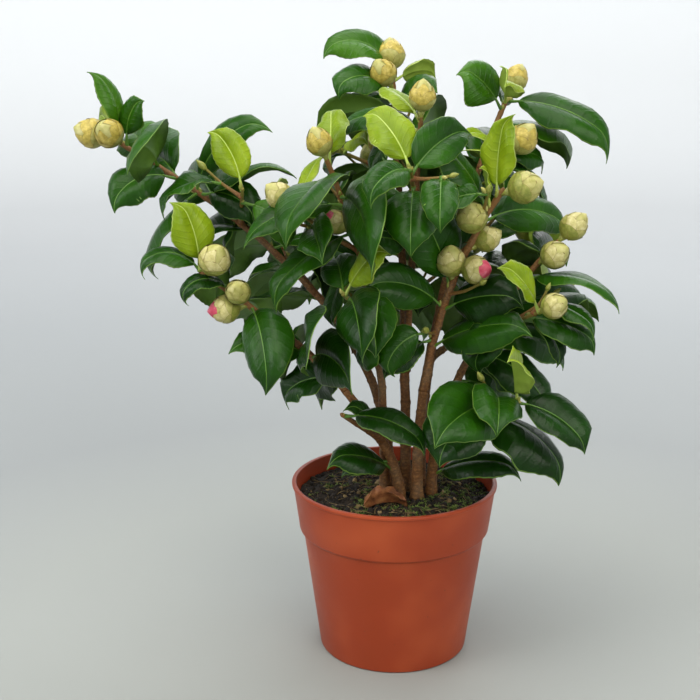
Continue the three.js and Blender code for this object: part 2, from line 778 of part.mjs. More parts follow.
const shrub = new THREE.Group();
shrub.name = "camellia_shrub";
shrub.add(toMesh("pot", potBody(), potFinish()));
shrub.add(toMesh("root_ball", rootBallBody(), soilFinish()));
for (const limb of limbs) {
  shrub.add(toMesh(`${limb.from ? "bough" : "stem"}_${limb.name}`, limbBody(limb), barkFinish()));
  shrub.add(toMesh(`foliage_${limb.name}`, massBody(limb), leafFinish()));
}

export default shrub;
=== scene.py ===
"""A young camellia in bud in its nursery pot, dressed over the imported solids.

The limbs, twigs, leaves and buds grow by the rule of the solids, in millimetres, and are carried
to finer forms: barked limbs, stalked and veined leaves, scaled buds, peat, moss and a moulded pot.
"""
import json
import logging
import math
from dataclasses import dataclass, field
from enum import Enum

import bpy
import numpy as np
from numpy.random import Generator
from numpy.typing import NDArray
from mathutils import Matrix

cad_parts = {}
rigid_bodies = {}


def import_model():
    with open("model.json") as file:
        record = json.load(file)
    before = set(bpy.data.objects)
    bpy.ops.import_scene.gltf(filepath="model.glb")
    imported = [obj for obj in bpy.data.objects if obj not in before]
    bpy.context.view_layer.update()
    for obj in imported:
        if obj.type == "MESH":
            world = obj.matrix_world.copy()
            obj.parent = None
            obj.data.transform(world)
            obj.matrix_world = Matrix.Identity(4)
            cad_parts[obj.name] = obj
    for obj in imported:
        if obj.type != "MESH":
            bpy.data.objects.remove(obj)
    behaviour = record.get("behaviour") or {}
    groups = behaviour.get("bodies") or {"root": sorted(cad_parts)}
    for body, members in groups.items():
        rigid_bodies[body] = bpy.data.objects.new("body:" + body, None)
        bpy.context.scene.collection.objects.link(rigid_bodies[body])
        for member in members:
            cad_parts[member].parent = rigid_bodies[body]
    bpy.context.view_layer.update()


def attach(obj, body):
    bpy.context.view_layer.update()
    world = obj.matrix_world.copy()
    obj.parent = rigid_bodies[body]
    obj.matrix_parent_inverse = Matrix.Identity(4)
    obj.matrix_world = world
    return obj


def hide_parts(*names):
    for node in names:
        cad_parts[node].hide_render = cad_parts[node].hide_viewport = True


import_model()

LOG = logging.getLogger("camellia")
MM = 0.001
Array = NDArray[np.float64]
Whole = NDArray[np.int64]
Place = tuple[float, float, float]
Span = tuple[float, float]
Material, Socket = bpy.types.Material, bpy.types.NodeSocket


# Numbers and directions


class Stream:
    """A stream of numbers from 0 to 1 that a seed fixes: the same mixing as in the solids."""

    def __init__(self, seed: int) -> None:
        """Starts the stream at a whole number."""
        self.state = seed & 0xFFFFFFFF

    def __call__(self) -> float:
        """The next number: add a constant, then fold the shifted state into itself twice.

        Returns:
            A number from 0 to 1.
        """
        self.state = (self.state + 0x6D2B79F5) & 0xFFFFFFFF
        state = self.state
        mixed = ((state ^ (state >> 15)) * (1 | state)) & 0xFFFFFFFF
        again = ((mixed ^ (mixed >> 7)) * (61 | mixed)) & 0xFFFFFFFF
        mixed = ((mixed + again) & 0xFFFFFFFF) ^ mixed
        return (mixed ^ (mixed >> 14)) / 2**32


def between(span: Span, share: float) -> float:
    """The value at a share of a span."""
    return span[0] + (span[1] - span[0]) * share


def unit(vectors: Array) -> Array:
    """The same directions, one long."""
    return vectors / np.linalg.norm(vectors, axis=-1, keepdims=True)


def heading_of(turn: float, rise: float) -> Array:
    """The direction at a turn about the upright and a rise above the level, in degrees.

    Args:
        turn: Degrees about the upright, from +X towards +Y.
        rise: Degrees above the level.

    Returns:
        A direction, one long.
    """
    level = math.cos(math.radians(rise))
    flat = math.radians(turn)
    return np.array([level * math.cos(flat), level * math.sin(flat), math.sin(math.radians(rise))])


def distances(starts: Array, ends: Array, points: Array) -> Array:
    """The distance of each point from each edge.

    Args:
        starts: Where the edges start, one row each.
        ends: Where they end.
        points: The points to measure, one row each.

    Returns:
        Points by edges: the distance from the point to its foot on the edge, which is kept
        between the edge's ends.
    """
    edge = ends - starts
    away = points[:, None] - starts
    share = np.clip((away * edge).sum(-1) / (edge * edge).sum(-1), 0.0, 1.0)
    return np.linalg.norm(away - share[..., None] * edge, axis=-1)


def ripple(points: Array, size: float, seed: int, waves: int = 7) -> Array:
    """Smooth uneven relief from -1 to 1: a sum of sine waves in seeded directions.

    Args:
        points: Points in millimetres, in an array whose last axis is 3.
        size: The length of the longest wave in millimetres.
        seed: What fixes the directions and phases.
        waves: How many waves are summed.

    Returns:
        One height for each point.
    """
    draw = np.random.default_rng(seed)
    ways = unit(draw.normal(size=(waves, 3)))
    rates = 2 * math.pi / size * draw.uniform(1.0, 2.6, waves)
    phases = draw.uniform(0, 2 * math.pi, waves)
    return np.sin(points @ (ways * rates[:, None]).T + phases).sum(-1) / math.sqrt(waves) / 1.4


# Growth: the rule of the solids

# The turn from one leaf, twig or scale to the next, in degrees.
SPIRAL = 137.5


@dataclass
class Limb:
    """A stem or bough: its course runs sideways as a power of its height."""

    name: str
    start: Array
    end: Array
    bow: float
    radius: Span
    part: float
    seed: int
    parent: str | None = None
    flare: float = 0.32
    flare_height: float = 7.0
    bare_steps: int = 12
    leafy_steps: int = 6

    def point(self, share: Array | float) -> Array:
        """Points at shares of the height: start plus reach, sideways by share to the bow.

        Args:
            share: Shares of the height.

        Returns:
            A point for each, in millimetres.
        """
        u = np.asarray(share, float)[..., None]
        side = np.concatenate([u**self.bow, u**self.bow, u], axis=-1)
        return self.start + (self.end - self.start) * side

    def width(self, share: Array | float) -> Array:
        """The radius at shares of the height, with a root flare that dies out upwards.

        Args:
            share: Shares of the height.

        Returns:
            A radius for each, in millimetres.
        """
        u = np.asarray(share, float)
        plain = self.radius[0] + (self.radius[1] - self.radius[0]) * u
        rise = (self.end[2] - self.start[2]) * u
        return plain if self.parent else plain * (1 + self.flare * np.exp(-rise / self.flare_height))

    @property
    def bare(self) -> Array:
        """The points of its leafless length."""
        return self.point(self.part * np.arange(self.bare_steps + 1) / self.bare_steps)

    @property
    def leafy(self) -> Array:
        """The points of its leafy end."""
        steps = np.arange(self.leafy_steps + 1)
        return self.point(self.part + (1 - self.part) * steps / self.leafy_steps)


# The radius of a finer twig at its foot, in millimetres.
FINE_TWIG = 1.0


@dataclass(eq=False)
class Axis:
    """What leaves stand on: a limb's leafy end, or a side twig that curves upwards."""

    mass: str
    points: Array
    radius: Span
    limb: Limb | None = None
    base: Array | None = None
    heading: Array | None = None
    length: float = 0.0
    seed: int = 0
    place: int = 0
    lift: float = 0.16

    def point(self, share: Array | float) -> Array:
        """Points at shares of the length: on the limb, or base plus heading plus a rise.

        Args:
            share: Shares of the length.

        Returns:
            A point for each, in millimetres.
        """
        t = np.asarray(share, float)
        if self.limb:
            return self.limb.point(self.limb.part + (1 - self.limb.part) * t)
        t = t[..., None]
        rise = np.array([0, 0, self.lift * self.length])
        return self.base + self.heading * self.length * t + rise * t * t

    def course(self, share: float) -> Array:
        """The direction at a share of the length."""
        return unit(self.point(share + 0.02) - self.point(share - 0.02))

    def drawn(self) -> "Axis":
        """The twig itself, with its five points worked out."""
        self.points = self.point(np.arange(5) / 4)
        return self

    @property
    def fine(self) -> bool:
        """Whether it is one of the finer twigs."""
        return self.radius[0] <= FINE_TWIG


# The fit of a leaf is tested at 11 shares of its length by 6 places across.
SAMPLE_SHARES = 0.08 + 0.092 * np.arange(11)
SAMPLE_ACROSS = -1 + 0.4 * np.arange(6)
SAMPLE_T = np.repeat(SAMPLE_SHARES, 6)
SAMPLE_S = np.tile(SAMPLE_ACROSS, 11)


@dataclass(eq=False)
class Leaf:
    """A leaf: its place on an axis, its direction, its bend and its size in millimetres."""

    at: float
    turn: float
    rise: float
    droop: float
    length: float
    width: float
    roll: float
    young: bool = False
    mass: str = ""
    axis: Axis | None = None
    root: Array | None = None
    base: Array | None = None
    samples: Array | None = None
    middle: Array | None = None
    fold: float = 0.42
    curl: float = 0.6
    stalk: float = 7.0
    given: bool = False
    fine: bool = False

    def frame(
        self, share: Array, twist: float = 0.0, sway: float = 0.0, hook: float = 0.07
    ) -> tuple[Array, Array, Array]:
        """The midrib, which bends down along an arc, and the blade's own directions.

        Args:
            share: Shares of the length.
            twist: How far the blade turns about its midrib by its tip, in degrees.
            sway: How far the tip leans aside, as a share of the length.
            hook: How far the tip bends down besides, as a share of the length, from 0.72 of it on.

        Returns:
            The midrib's points, the direction across the blade and the one out of its face.
        """
        t = np.asarray(share, float)[..., None]
        start, arc = math.radians(self.rise), math.radians(self.droop)
        now = start - arc * t
        out = heading_of(self.turn, 0)
        up = np.array([0.0, 0.0, 1.0])
        along = self.length / arc * (math.sin(start) - np.sin(now))
        climb = self.length / arc * (np.cos(now) - math.cos(start))
        course = up * np.sin(now) + out * np.cos(now)
        normal = up * np.cos(now) - out * np.sin(now)
        side = np.cross(course, normal)
        roll = np.radians(self.roll + twist * t**2)
        dip = hook * self.length * np.maximum(0, (t - 0.72) / 0.28) ** 2
        middle = self.base + out * along + up * climb - normal * dip + side * sway * self.length * t**2
        cos, sin = np.cos(roll), np.sin(roll)
        return middle, side * cos + normal * sin, normal * cos - side * sin

    def half_width(self, share: Array) -> Array:
        """Half the blade's width: t to 0.6 times (1 - t) to 0.85, over its greatest value 0.374.

        From 0.78 of the length to the tip it is drawn in by up to a third, and it stays over 0.35.

        Args:
            share: Shares of the length.

        Returns:
            Millimetres from the midrib to the margin.
        """
        t = np.clip(np.asarray(share, float), 0, 1)
        tip = np.clip((t - 0.78) / 0.2, 0, 1)
        plain = t**0.6 * (1 - t) ** 0.85 / 0.374
        return np.maximum(0.35, self.width / 2 * plain * (1 - 0.35 * tip))

    def rooted(self, axis: Axis) -> "Leaf":
        """Puts the leaf on its axis and works out the points that the fit is tested at.

        Args:
            axis: The limb's leafy end or twig that it stands on.

        Returns:
            The leaf itself.
        """
        self.mass, self.axis = axis.mass, axis
        self.root = axis.point(self.at)
        self.base = self.root + heading_of(self.turn, self.rise) * self.stalk
        middle, side, normal = self.frame(SAMPLE_T)
        half = self.half_width(SAMPLE_T)[:, None]
        s = SAMPLE_S[:, None]
        height = half * (self.fold * np.abs(s) - self.curl * np.abs(s) ** 3)
        self.samples = middle + side * half * s + normal * height
        self.middle = self.frame(np.array([0.5]))[0][0]
        return self


@dataclass(eq=False)
class Bud:
    """A flower bud: its place, its direction and its size in millimetres."""

    root: Array
    base: Array
    course: Array
    length: float
    radius: float
    pink: bool = False

    @property
    def centre(self) -> Array:
        """Its middle."""
        return self.base + self.course * self.length / 2


@dataclass(frozen=True)
class SetBud:
    """Where a flower bud stands on a limb, how it leans and its size from 0 to 1."""

    at: float
    turn: float
    size: float
    rise: float = 10.0
    pink: bool = False


@dataclass
class MassPlan:
    """What a mass carries: side twigs, flower buds, set leaves, open turns and finer twigs."""

    twigs: int
    fine_twigs: int
    buds: list[SetBud] = field(default_factory=list)
    leaves: list[Leaf] = field(default_factory=list)
    open_turns: Span | None = None
    spread: float = 1.0


@dataclass(frozen=True)
class LeafRule:
    """How leaves follow one another along an axis: spacing, sizes and slopes in millimetres."""

    seed: int = 1000
    internode: float = 11
    fewest: int = 3
    length: Span = (54, 72)
    slender: Span = (0.48, 0.58)
    droop: Span = (50, 100)
    rise: Span = (-8, 42)
    gap: float = 5.5
    twig_gap: float = 5
    limb_span: Span = (0.06, 0.96)
    twig_span: Span = (0.34, 0.94)
    tries: int = 48
    stalk: float = 7.0
    fine: bool = False


FINE_LEAVES = LeafRule(
    seed=2000,
    internode=7,
    fewest=2,
    length=(38, 56),
    slender=(0.54, 0.66),
    droop=(40, 95),
    rise=(-16, 56),
    gap=3.6,
    twig_gap=3.2,
    limb_span=(0.1, 0.95),
    twig_span=(0.3, 0.97),
    tries=24,
    stalk=4.5,
    fine=True,
)


def stems() -> list[Limb]:
    """The stems from the soil and the boughs on them, as in the solids.

    Returns:
        The limbs, each after the one that carries it.
    """
    soil = 95.3
    rows = [
        ("front", (13, -11), (56, -29, 276), 2.6, (3.3, 1.5), 0.36, 11),
        ("right", (21.5, -4), (88, -22, 248), 2.0, (3.0, 1.4), 0.42, 23),
        ("left", (3, -9), (-106, -31, 231), 1.7, (3.0, 1.4), 0.48, 35),
        ("mid_left", (-5.5, -1.5), (-38, -30, 292), 2.4, (2.8, 1.3), 0.4, 47),
        ("back_left", (-2.5, 8.5), (-166, 20, 300), 2.3, (3.1, 1.3), 0.56, 59),
        ("back", (6.5, 2.5), (-3, 40, 334), 2.0, (3.3, 1.4), 0.48, 61),
        ("back_right", (15.5, 9.5), (64, 40, 322), 2.1, (2.9, 1.4), 0.42, 73),
    ]
    grown = [
        Limb(name, np.array([*foot, soil], float), np.array(end, float), bow, radius, part, seed)
        for name, foot, end, bow, radius, part, seed in rows
    ]
    named = {limb.name: limb for limb in grown}
    boughs = [
        ("low_right", "right", 0.28, (66, -46, 164), 1.0, (2.0, 1.2), 0.4, 83),
        ("low_front", "left", 0.26, (-30, -36, 153), 1.0, (1.9, 1.2), 0.4, 95),
        ("low_back", "back", 0.34, (12, 84, 214), 1.1, (2.2, 1.2), 0.4, 107),
        ("side_back", "back_left", 0.4, (-78, 66, 236), 1.1, (2.2, 1.2), 0.4, 119),
        ("middle", "back", 0.3, (12, -26, 314), 0.9, (2.3, 1.2), 0.3, 131),
        ("side_right", "back_right", 0.34, (92, 44, 206), 1.1, (2.1, 1.2), 0.4, 121),
    ]
    for name, parent, at, end, bow, radius, part, seed in boughs:
        start = named[parent].point(at)
        grown.append(Limb(name, start, np.array(end, float), bow, radius, part, seed, parent))
    return grown


def plans() -> dict[str, MassPlan]:
    """What each mass carries: the leaves and buds that give it its face.

    A row holds the mass, its side twigs and finer twigs, its buds as SetBud counts them, its
    leaves as Leaf counts them, the turns that it leaves open and how far its leaves spread.

    Returns:
        The plans under the masses' names.
    """
    tip = (1, 0, 0.4)
    rows = [
        (
            "front", 0, 3,
            [
                (0.97, -20, 0.9, -10), (0.54, -130, 0.7, 55), (0.6, -50, 0.6, -30, True),
                (0.7, 20, 0.2, 0), (0.78, -130, 0.8, 20),
            ],
            [
                (0.41, -27, 28, 36, 43, 32, -55), (0.22, -33, 34, 36, 59, 32, -40),
                (0.51, -150, 76, 34, 54, 36, 44), (0.42, -159, 42, 60, 48, 30, 12),
                (0.95, -52, 93, 20, 40, 22, -136, True), (0.9, -112, 66, 20, 24, 11, 0, True),
                (0.84, 32, 18, 62, 62, 28, -5), (0.88, -167, 68, 50, 62, 28, -2),
                (0.26, -151, -7, 50, 33, 24, -35),
            ],
            (-150, -2), 1.0,
        ),
        (
            "right", 1, 4, [tip, (0.84, -60, 0.5)],
            [
                (0.74, -24, 16, 60, 54, 28, -10), (0.25, -27, -3, 70, 55, 30, -43),
                (-0.6, -23, 34, 50, 52, 28, -25),
            ],
            None, 1.0,
        ),
        (
            "left", 0, 0, [(0.96, -20, 0.9), (0.76, -60, 0.2), (0.72, -150, 0.6, -35, True)],
            [
                (1.0, -170, 88, 30, 35, 27, 65, True), (0.98, -174, 50, 120, 40, 21, 10),
                (0.81, -154, 48, 130, 35, 18, 24), (0.28, -160, 33, 50, 45, 28, 44),
                (-0.7, -148, 36, 40, 42, 27, -17), (-0.62, -157, 8, 40, 26, 22, -38),
                (-0.45, -140, 66, 50, 34, 15, 42),
            ],
            None, 2.4,
        ),
        (
            "mid_left", 2, 4, [(1, 0, 0.2), (0.64, -160, 0.1, 10.0, True)],
            [
                (0.65, -149, -15, 40, 59, 30, 1), (0.78, -157, 5, 50, 57, 30, 3),
                (0.8, -36, 4, 44, 42, 27, -16),
            ],
            None, 1.0,
        ),
        (
            "back_left", 1, 2, [(0.96, -160, 0.8), (0.94, -70, 0.7), (0.88, -150, 0.3)],
            [
                (0.95, -159, 97, 60, 39, 19, 71), (0.92, -29, 88, 60, 26, 20, -67),
                (0.73, -152, 15, 90, 42, 31, 74), (0.65, -13, 73, 70, 59, 26, -50),
                (0.63, -31, 11, 70, 40, 27, -19),
            ],
            None, 1.4,
        ),
        (
            "back", 2, 5, [(1, 0, 0.7), (0.96, 10, 0.6), (0.92, -120, 0.5), (0.62, -170, 0.5)],
            [
                (1.0, -171, 60, 110, 45, 29, 96), (0.89, -154, 48, 110, 40, 29, 88),
                (0.81, -33, 60, 80, 29, 25, -103),
            ],
            (-176, -140), 1.0,
        ),
        (
            "back_right", 2, 5, [(1, 0, 0.3)],
            [(0.97, -21, 1, 50, 68, 33, -76), (0.93, -164, 59, 40, 30, 36, 73)],
            None, 1.0,
        ),
        ("low_right", 0, 1, [], [(0.24, -133, -4, 60, 40, 40, -32)], (160, 260), 2.2),
        ("low_front", 0, 0, [], [(0.87, -22, 10, 56, 48, 29, 42)], (-181, 181), 1.0),
        ("low_back", 1, 3, [tip], [], None, 1.0),
        ("side_back", 1, 3, [tip], [], None, 1.0),
        ("side_right", 1, 3, [tip], [], None, 1.0),
        (
            "middle", 2, 4, [(1, 0, 0.3)],
            [(0.88, 150, 36, 84, 54, 26, 0), (0.28, -146, 31, 50, 34, 24, 3)],
            (-85, 20), 1.0,
        ),
    ]
    return {
        name: MassPlan(
            twigs, fine, [SetBud(*one) for one in buds], [Leaf(*one) for one in leaves], turns, spread
        )
        for name, twigs, fine, buds, leaves, turns, spread in rows
    }


@dataclass
class Growth:
    """The whole plant above the soil, laid in the order of the solids.

    A mass's own space is what lies nearer to its own leafy end than to any other. A leaf may reach
    a little into the border, where it stays clear of every other leaf.
    """

    spiral: float = SPIRAL
    space_shared: float = 14
    limb_gap: float = 4
    cell: float = 3.2
    low: Place = (-178, -108, 107)
    high: Place = (120, 112, 356)
    over_pot: float = 63
    above_pot: float = 106

    twig_length: Span = (30, 46)
    twig_rise: Span = (8, 46)
    twig_radius: Span = (1.3, 0.9)
    twig_gap: float = 8
    twig_lean: float = 0.8
    twig_turns: int = 12
    fine_twig_length: Span = (13, 25)
    fine_twig_rise: Span = (-10, 60)
    fine_twig_radius: Span = (FINE_TWIG, 0.7)
    fine_twig_gap: float = 5
    fine_twig_margin: float = 2
    fine_twig_leaf_gap: float = 4
    fine_twig_lean: float = 0.85
    fine_twig_turns: int = 36

    bud_length: Span = (16, 20)
    bud_slender: Span = (0.74, 0.86)
    bud_gap: float = 4
    bud_tilt: float = 1.3
    bud_stalk: float = 5
    tip_bud_stalk: float = 1.5
    tip_bud_sink: float = 3
    bud_apart: float = 0.86

    young_rise: Span = (58, 82)
    young_length: Span = (36, 46)
    facing: float = 58
    sway: Span = (-22, 22)
    lean: Span = (-0.5, 0.86)
    turn_step: float = 30
    turns: int = 12
    slope_step: float = 14
    size_step: float = 0.09
    twig_share: float = 0.92
    given_width: float = 0.9
    grown_width: float = 1.1
    grown_length: float = 0.93

    def __post_init__(self) -> None:
        """Grows limbs, twigs, buds, set leaves and then the leaves of the rule."""
        self.limbs = stems()
        self.plans = plans()
        self.order = {limb.name: place for place, limb in enumerate(self.limbs)}
        self.bare = np.stack([limb.bare for limb in self.limbs])
        self.leafy = np.stack([limb.leafy for limb in self.limbs])
        self.thick = np.array([limb.radius[0] for limb in self.limbs])
        self.axes: list[Axis] = []
        self.leaves: list[Leaf] = []
        self.buds: list[Bud] = []
        for limb, points in zip(self.limbs, self.leafy):
            radius = (float(limb.width(limb.part)), limb.radius[1])
            self.axes.append(Axis(limb.name, points, radius, limb))
        for limb in self.limbs:
            self.lay_twigs(limb)
        self.number_axes()
        for axis in self.axes:
            self.lay_buds(axis)
        self.note_axes()
        for limb in self.limbs:
            self.lay_set_leaves(limb)
        for axis in self.axes:
            self.lay_leaves(axis, LeafRule())
        self.lay_finer()

    def lay_finer(self) -> None:
        """Carries the rule on within the leaves' reach: finer twigs, then smaller leaves on all."""
        for leaf in self.leaves:
            leaf.length *= 1 if leaf.given else self.grown_length
            leaf.width *= self.given_width if leaf.given else self.grown_width
        grown = np.concatenate([leaf.samples for leaf in self.leaves])
        self.low, self.high = grown.min(0) + 2, grown.max(0) - 2
        coarse = len(self.axes)
        for limb in self.limbs:
            self.lay_fine_twigs(limb, grown)
        self.number_axes()
        self.note_axes()
        self.taken = set(self.cells(grown))
        for axis in self.axes[coarse:] + self.axes[:coarse]:
            self.lay_leaves(axis, FINE_LEAVES)

    def number_axes(self) -> None:
        """Gives each axis its place in the order, and its seed by that place."""
        for place, axis in enumerate(self.axes):
            axis.seed, axis.place = 7 * place + 3, place

    def lay_fine_twigs(self, limb: Limb, grown: Array) -> None:
        """Finer twigs on a mass's axes, each the first of its turns that misses every leaf.

        Args:
            limb: The limb that carries the mass.
            grown: The sample points of the leaves so far.
        """
        random = Stream(limb.seed + 500)
        wanted = self.plans[limb.name].fine_twigs
        hosts = [axis for axis in self.axes if axis.mass == limb.name]
        for place in range(wanted):
            host = hosts[place % len(hosts)]
            base = host.point(between((0.18, 0.9), (place + 0.2 + 0.6 * random()) / wanted))
            first, length = 360 * random(), between(self.fine_twig_length, random())
            for tried in range(self.fine_twig_turns):
                rise = between(self.fine_twig_rise, random())
                heading = heading_of(first + tried * self.spiral, rise)
                twig = Axis(limb.name, base, self.fine_twig_radius, None, base, heading, length).drawn()
                free = twig.points[2:]
                fits = self.in_own_space(limb.name, free, self.fine_twig_margin) and self.in_crown(free)
                away = np.linalg.norm(free[:, None] - grown, axis=-1).min()
                fits = fits and away > self.fine_twig_leaf_gap
                angle = float(heading @ host.course(0.5))
                if fits and angle < self.fine_twig_lean and self.clear_of_limbs(free, self.fine_twig_gap):
                    self.axes.append(twig)
                    break

    def note_axes(self) -> None:
        """Keeps the axes' edges and the buds' places as arrays, for the leaf tests."""
        starts = np.concatenate([axis.points[:-1] for axis in self.axes])
        ends = np.concatenate([axis.points[1:] for axis in self.axes])
        owner = np.repeat(np.arange(len(self.axes)), [len(axis.points) - 1 for axis in self.axes])
        self.axis_edges = (starts, ends, owner)
        self.bud_centres = np.array([bud.centre for bud in self.buds])
        self.bud_reach = np.array([bud.radius for bud in self.buds])

    def main_axis(self, name: str) -> Axis:
        """The leafy end of a limb."""
        return next(axis for axis in self.axes if axis.limb and axis.mass == name)

    def to_lines(self, lines: Array, points: Array) -> Array:
        """Points by lines: the least distance of each point from each line of points."""
        starts, ends = lines[:, :-1].reshape(-1, 3), lines[:, 1:].reshape(-1, 3)
        return distances(starts, ends, points).reshape(len(points), len(lines), -1).min(-1)

    def in_own_space(self, mass: str, points: Array, margin: float) -> bool:
        """Whether points lie nearer to their own leafy end than to any other, by a margin.

        Args:
            mass: The mass whose space it is.
            points: The points.
            margin: The least lead.

        Returns:
            Whether every point does.
        """
        away = self.to_lines(self.leafy, points)
        own = away[:, self.order[mass]].copy()
        away[:, self.order[mass]] = np.inf
        return bool((away.min(1) > own + margin).all())

    def in_crown(self, points: Array) -> bool:
        """Whether points lie within the crown's reach and above the pot.

        Args:
            points: The points.

        Returns:
            Whether every point does.
        """
        inside = ((points > self.low) & (points < self.high)).all()
        over = np.hypot(points[:, 0], points[:, 1]) < self.over_pot
        return bool(inside and (~over | (points[:, 2] > self.above_pot)).all())

    def clear_of_limbs(self, points: Array, gap: float) -> bool:
        """Whether points keep a gap from every limb's bare length."""
        return bool((self.to_lines(self.bare, points) > self.thick + gap).all())

    def lay_twigs(self, limb: Limb) -> None:
        """Side twigs on a limb's leafy end, each the first of its turns that fits the space.

        Args:
            limb: The limb that carries them.
        """
        random = Stream(limb.seed)
        wanted = self.plans[limb.name].twigs
        main = self.main_axis(limb.name)
        for place in range(wanted):
            base = main.point(0.12 + (0.55 * (place + 0.6)) / wanted)
            first = 360 * random()
            rise = between(self.twig_rise, random())
            length = between(self.twig_length, random())
            for turn in range(self.twig_turns):
                heading = heading_of(first + turn * self.spiral, rise)
                twig = Axis(limb.name, base, self.twig_radius, None, base, heading, length).drawn()
                angle = abs(float(heading @ main.course(0.4)))
                free = twig.points[1:]
                fits = self.in_own_space(limb.name, free, self.twig_gap) and self.in_crown(free)
                if angle < self.twig_lean and fits and self.clear_of_limbs(free, self.twig_gap):
                    self.axes.append(twig)
                    break

    def lay_buds(self, axis: Axis) -> None:
        """A bud closes each side twig. Those of a limb stand where its plan says.

        Args:
            axis: The limb's leafy end or twig that carries them.
        """
        random = Stream(axis.seed)
        given = self.plans[axis.mass].buds if axis.limb else [SetBud(1, 0, random())]
        for one in given:
            closes = one.at == 1
            tilt = 0 if closes else self.bud_tilt
            course = unit(axis.course(one.at) + heading_of(one.turn, one.rise) * tilt)
            root = axis.point(one.at)
            length = between(self.bud_length, one.size)
            radius = length / 2 * between(self.bud_slender, one.size)
            base = root + course * (self.tip_bud_stalk if closes else self.bud_stalk)
            start = root - course * (self.tip_bud_sink if closes else 0)
            bud = Bud(start, base, course, length, radius, one.pink)
            centre = bud.centre[None]
            apart = all(
                np.linalg.norm(other.centre - centre) > self.bud_apart * (other.radius + radius)
                for other in self.buds
            )
            own = self.in_own_space(axis.mass, centre, 2 * radius + 1)
            if apart and own and self.clear_of_limbs(centre, radius + 1):
                self.buds.append(bud)

    def facing_roll(self, leaf: Leaf, axis: Axis) -> float:
        """The roll that tips a leaf's upper side away from the pot's axis.

        Args:
            leaf: The leaf, with its turn and its place along.
            axis: What it stands on.

        Returns:
            The roll in degrees.
        """
        at = axis.point(leaf.at)
        out = unit(np.array([at[0] + 0.001, at[1], 0.0]))
        turn = math.radians(leaf.turn)
        return -self.facing * float(np.array([math.sin(turn), -math.cos(turn), 0.0]) @ out)

    def lay_set_leaves(self, limb: Limb) -> None:
        """The leaves that a mass's plan sets.

        Args:
            limb: The limb whose mass it is.
        """
        axis = self.main_axis(limb.name)
        for leaf in self.plans[limb.name].leaves:
            leaf.roll += self.facing_roll(leaf, axis)
            leaf.given = True
            self.leaves.append(leaf.rooted(axis))

    def leaf_fits(self, leaf: Leaf, rule: LeafRule) -> bool:
        """Whether a leaf keeps to its space and clear of limbs, twigs, buds and leaves.

        Args:
            leaf: The leaf, rooted.
            rule: The rule that gives its gaps.

        Returns:
            Whether it may stay.
        """
        points = leaf.samples
        if not self.in_crown(points):
            return False
        if rule.fine and not self.taken.isdisjoint(self.cells(points[SAMPLE_T > 0.3])):
            return False
        if not self.in_own_space(leaf.mass, points, -self.space_shared):
            return False
        away = np.linalg.norm(points[:, None] - self.bud_centres, axis=-1)
        if not (away > self.bud_reach + self.bud_gap).all():
            return False
        starts, ends, owner = self.axis_edges
        away = distances(starts, ends, points)
        near_root = (SAMPLE_T < 0.4)[:, None] & (owner == leaf.axis.place)
        if not np.where(near_root, away > 0, away > rule.twig_gap).all():
            return False
        return self.clear_of_limbs(points, self.limb_gap) and self.clear_of_leaves(leaf, rule.gap)

    def cells(self, points: Array) -> list[tuple[int, int, int]]:
        """The small cubes of space that points lie in."""
        return [tuple(cell) for cell in np.floor(points / self.cell).astype(int).tolist()]

    def clear_of_leaves(self, leaf: Leaf, gap: float) -> bool:
        """Whether a leaf keeps its gap from the others, except near the roots in one mass.

        Args:
            leaf: The leaf, rooted.
            gap: The least distance in millimetres.

        Returns:
            Whether it keeps clear of all.
        """
        middles = np.array([one.middle for one in self.leaves])
        lengths = np.array([one.length for one in self.leaves])
        reach = 0.62 * (lengths / self.grown_length + leaf.length) + gap
        within = np.linalg.norm(middles - leaf.middle, axis=1) <= reach
        near = [self.leaves[i] for i in np.flatnonzero(within)]
        root = SAMPLE_T < 0.3
        for start in range(0, len(near), 12):
            group = near[start : start + 12]
            others = np.concatenate([one.samples for one in group])
            # The square of a distance is the sum of both squares less twice the product.
            square = (others**2).sum(-1)[:, None] + (leaf.samples**2).sum(-1) - 2 * (others @ leaf.samples.T)
            touching = (square <= gap**2).reshape(len(group), len(SAMPLE_T), -1)
            kin = np.array([one.mass == leaf.mass for one in group])[:, None, None]
            if (touching & ~(kin & root[:, None] & root)).any():
                return False
        return True

    def is_open(self, mass: str, turn: float) -> bool:
        """Whether a turn is one that the mass's plan leaves open.

        Args:
            mass: The mass.
            turn: The turn in degrees.

        Returns:
            Whether leaves are kept away from it.
        """
        left = self.plans[mass].open_turns
        plain = (turn + 180) % 360 - 180
        return left is not None and left[0] < plain < left[1]

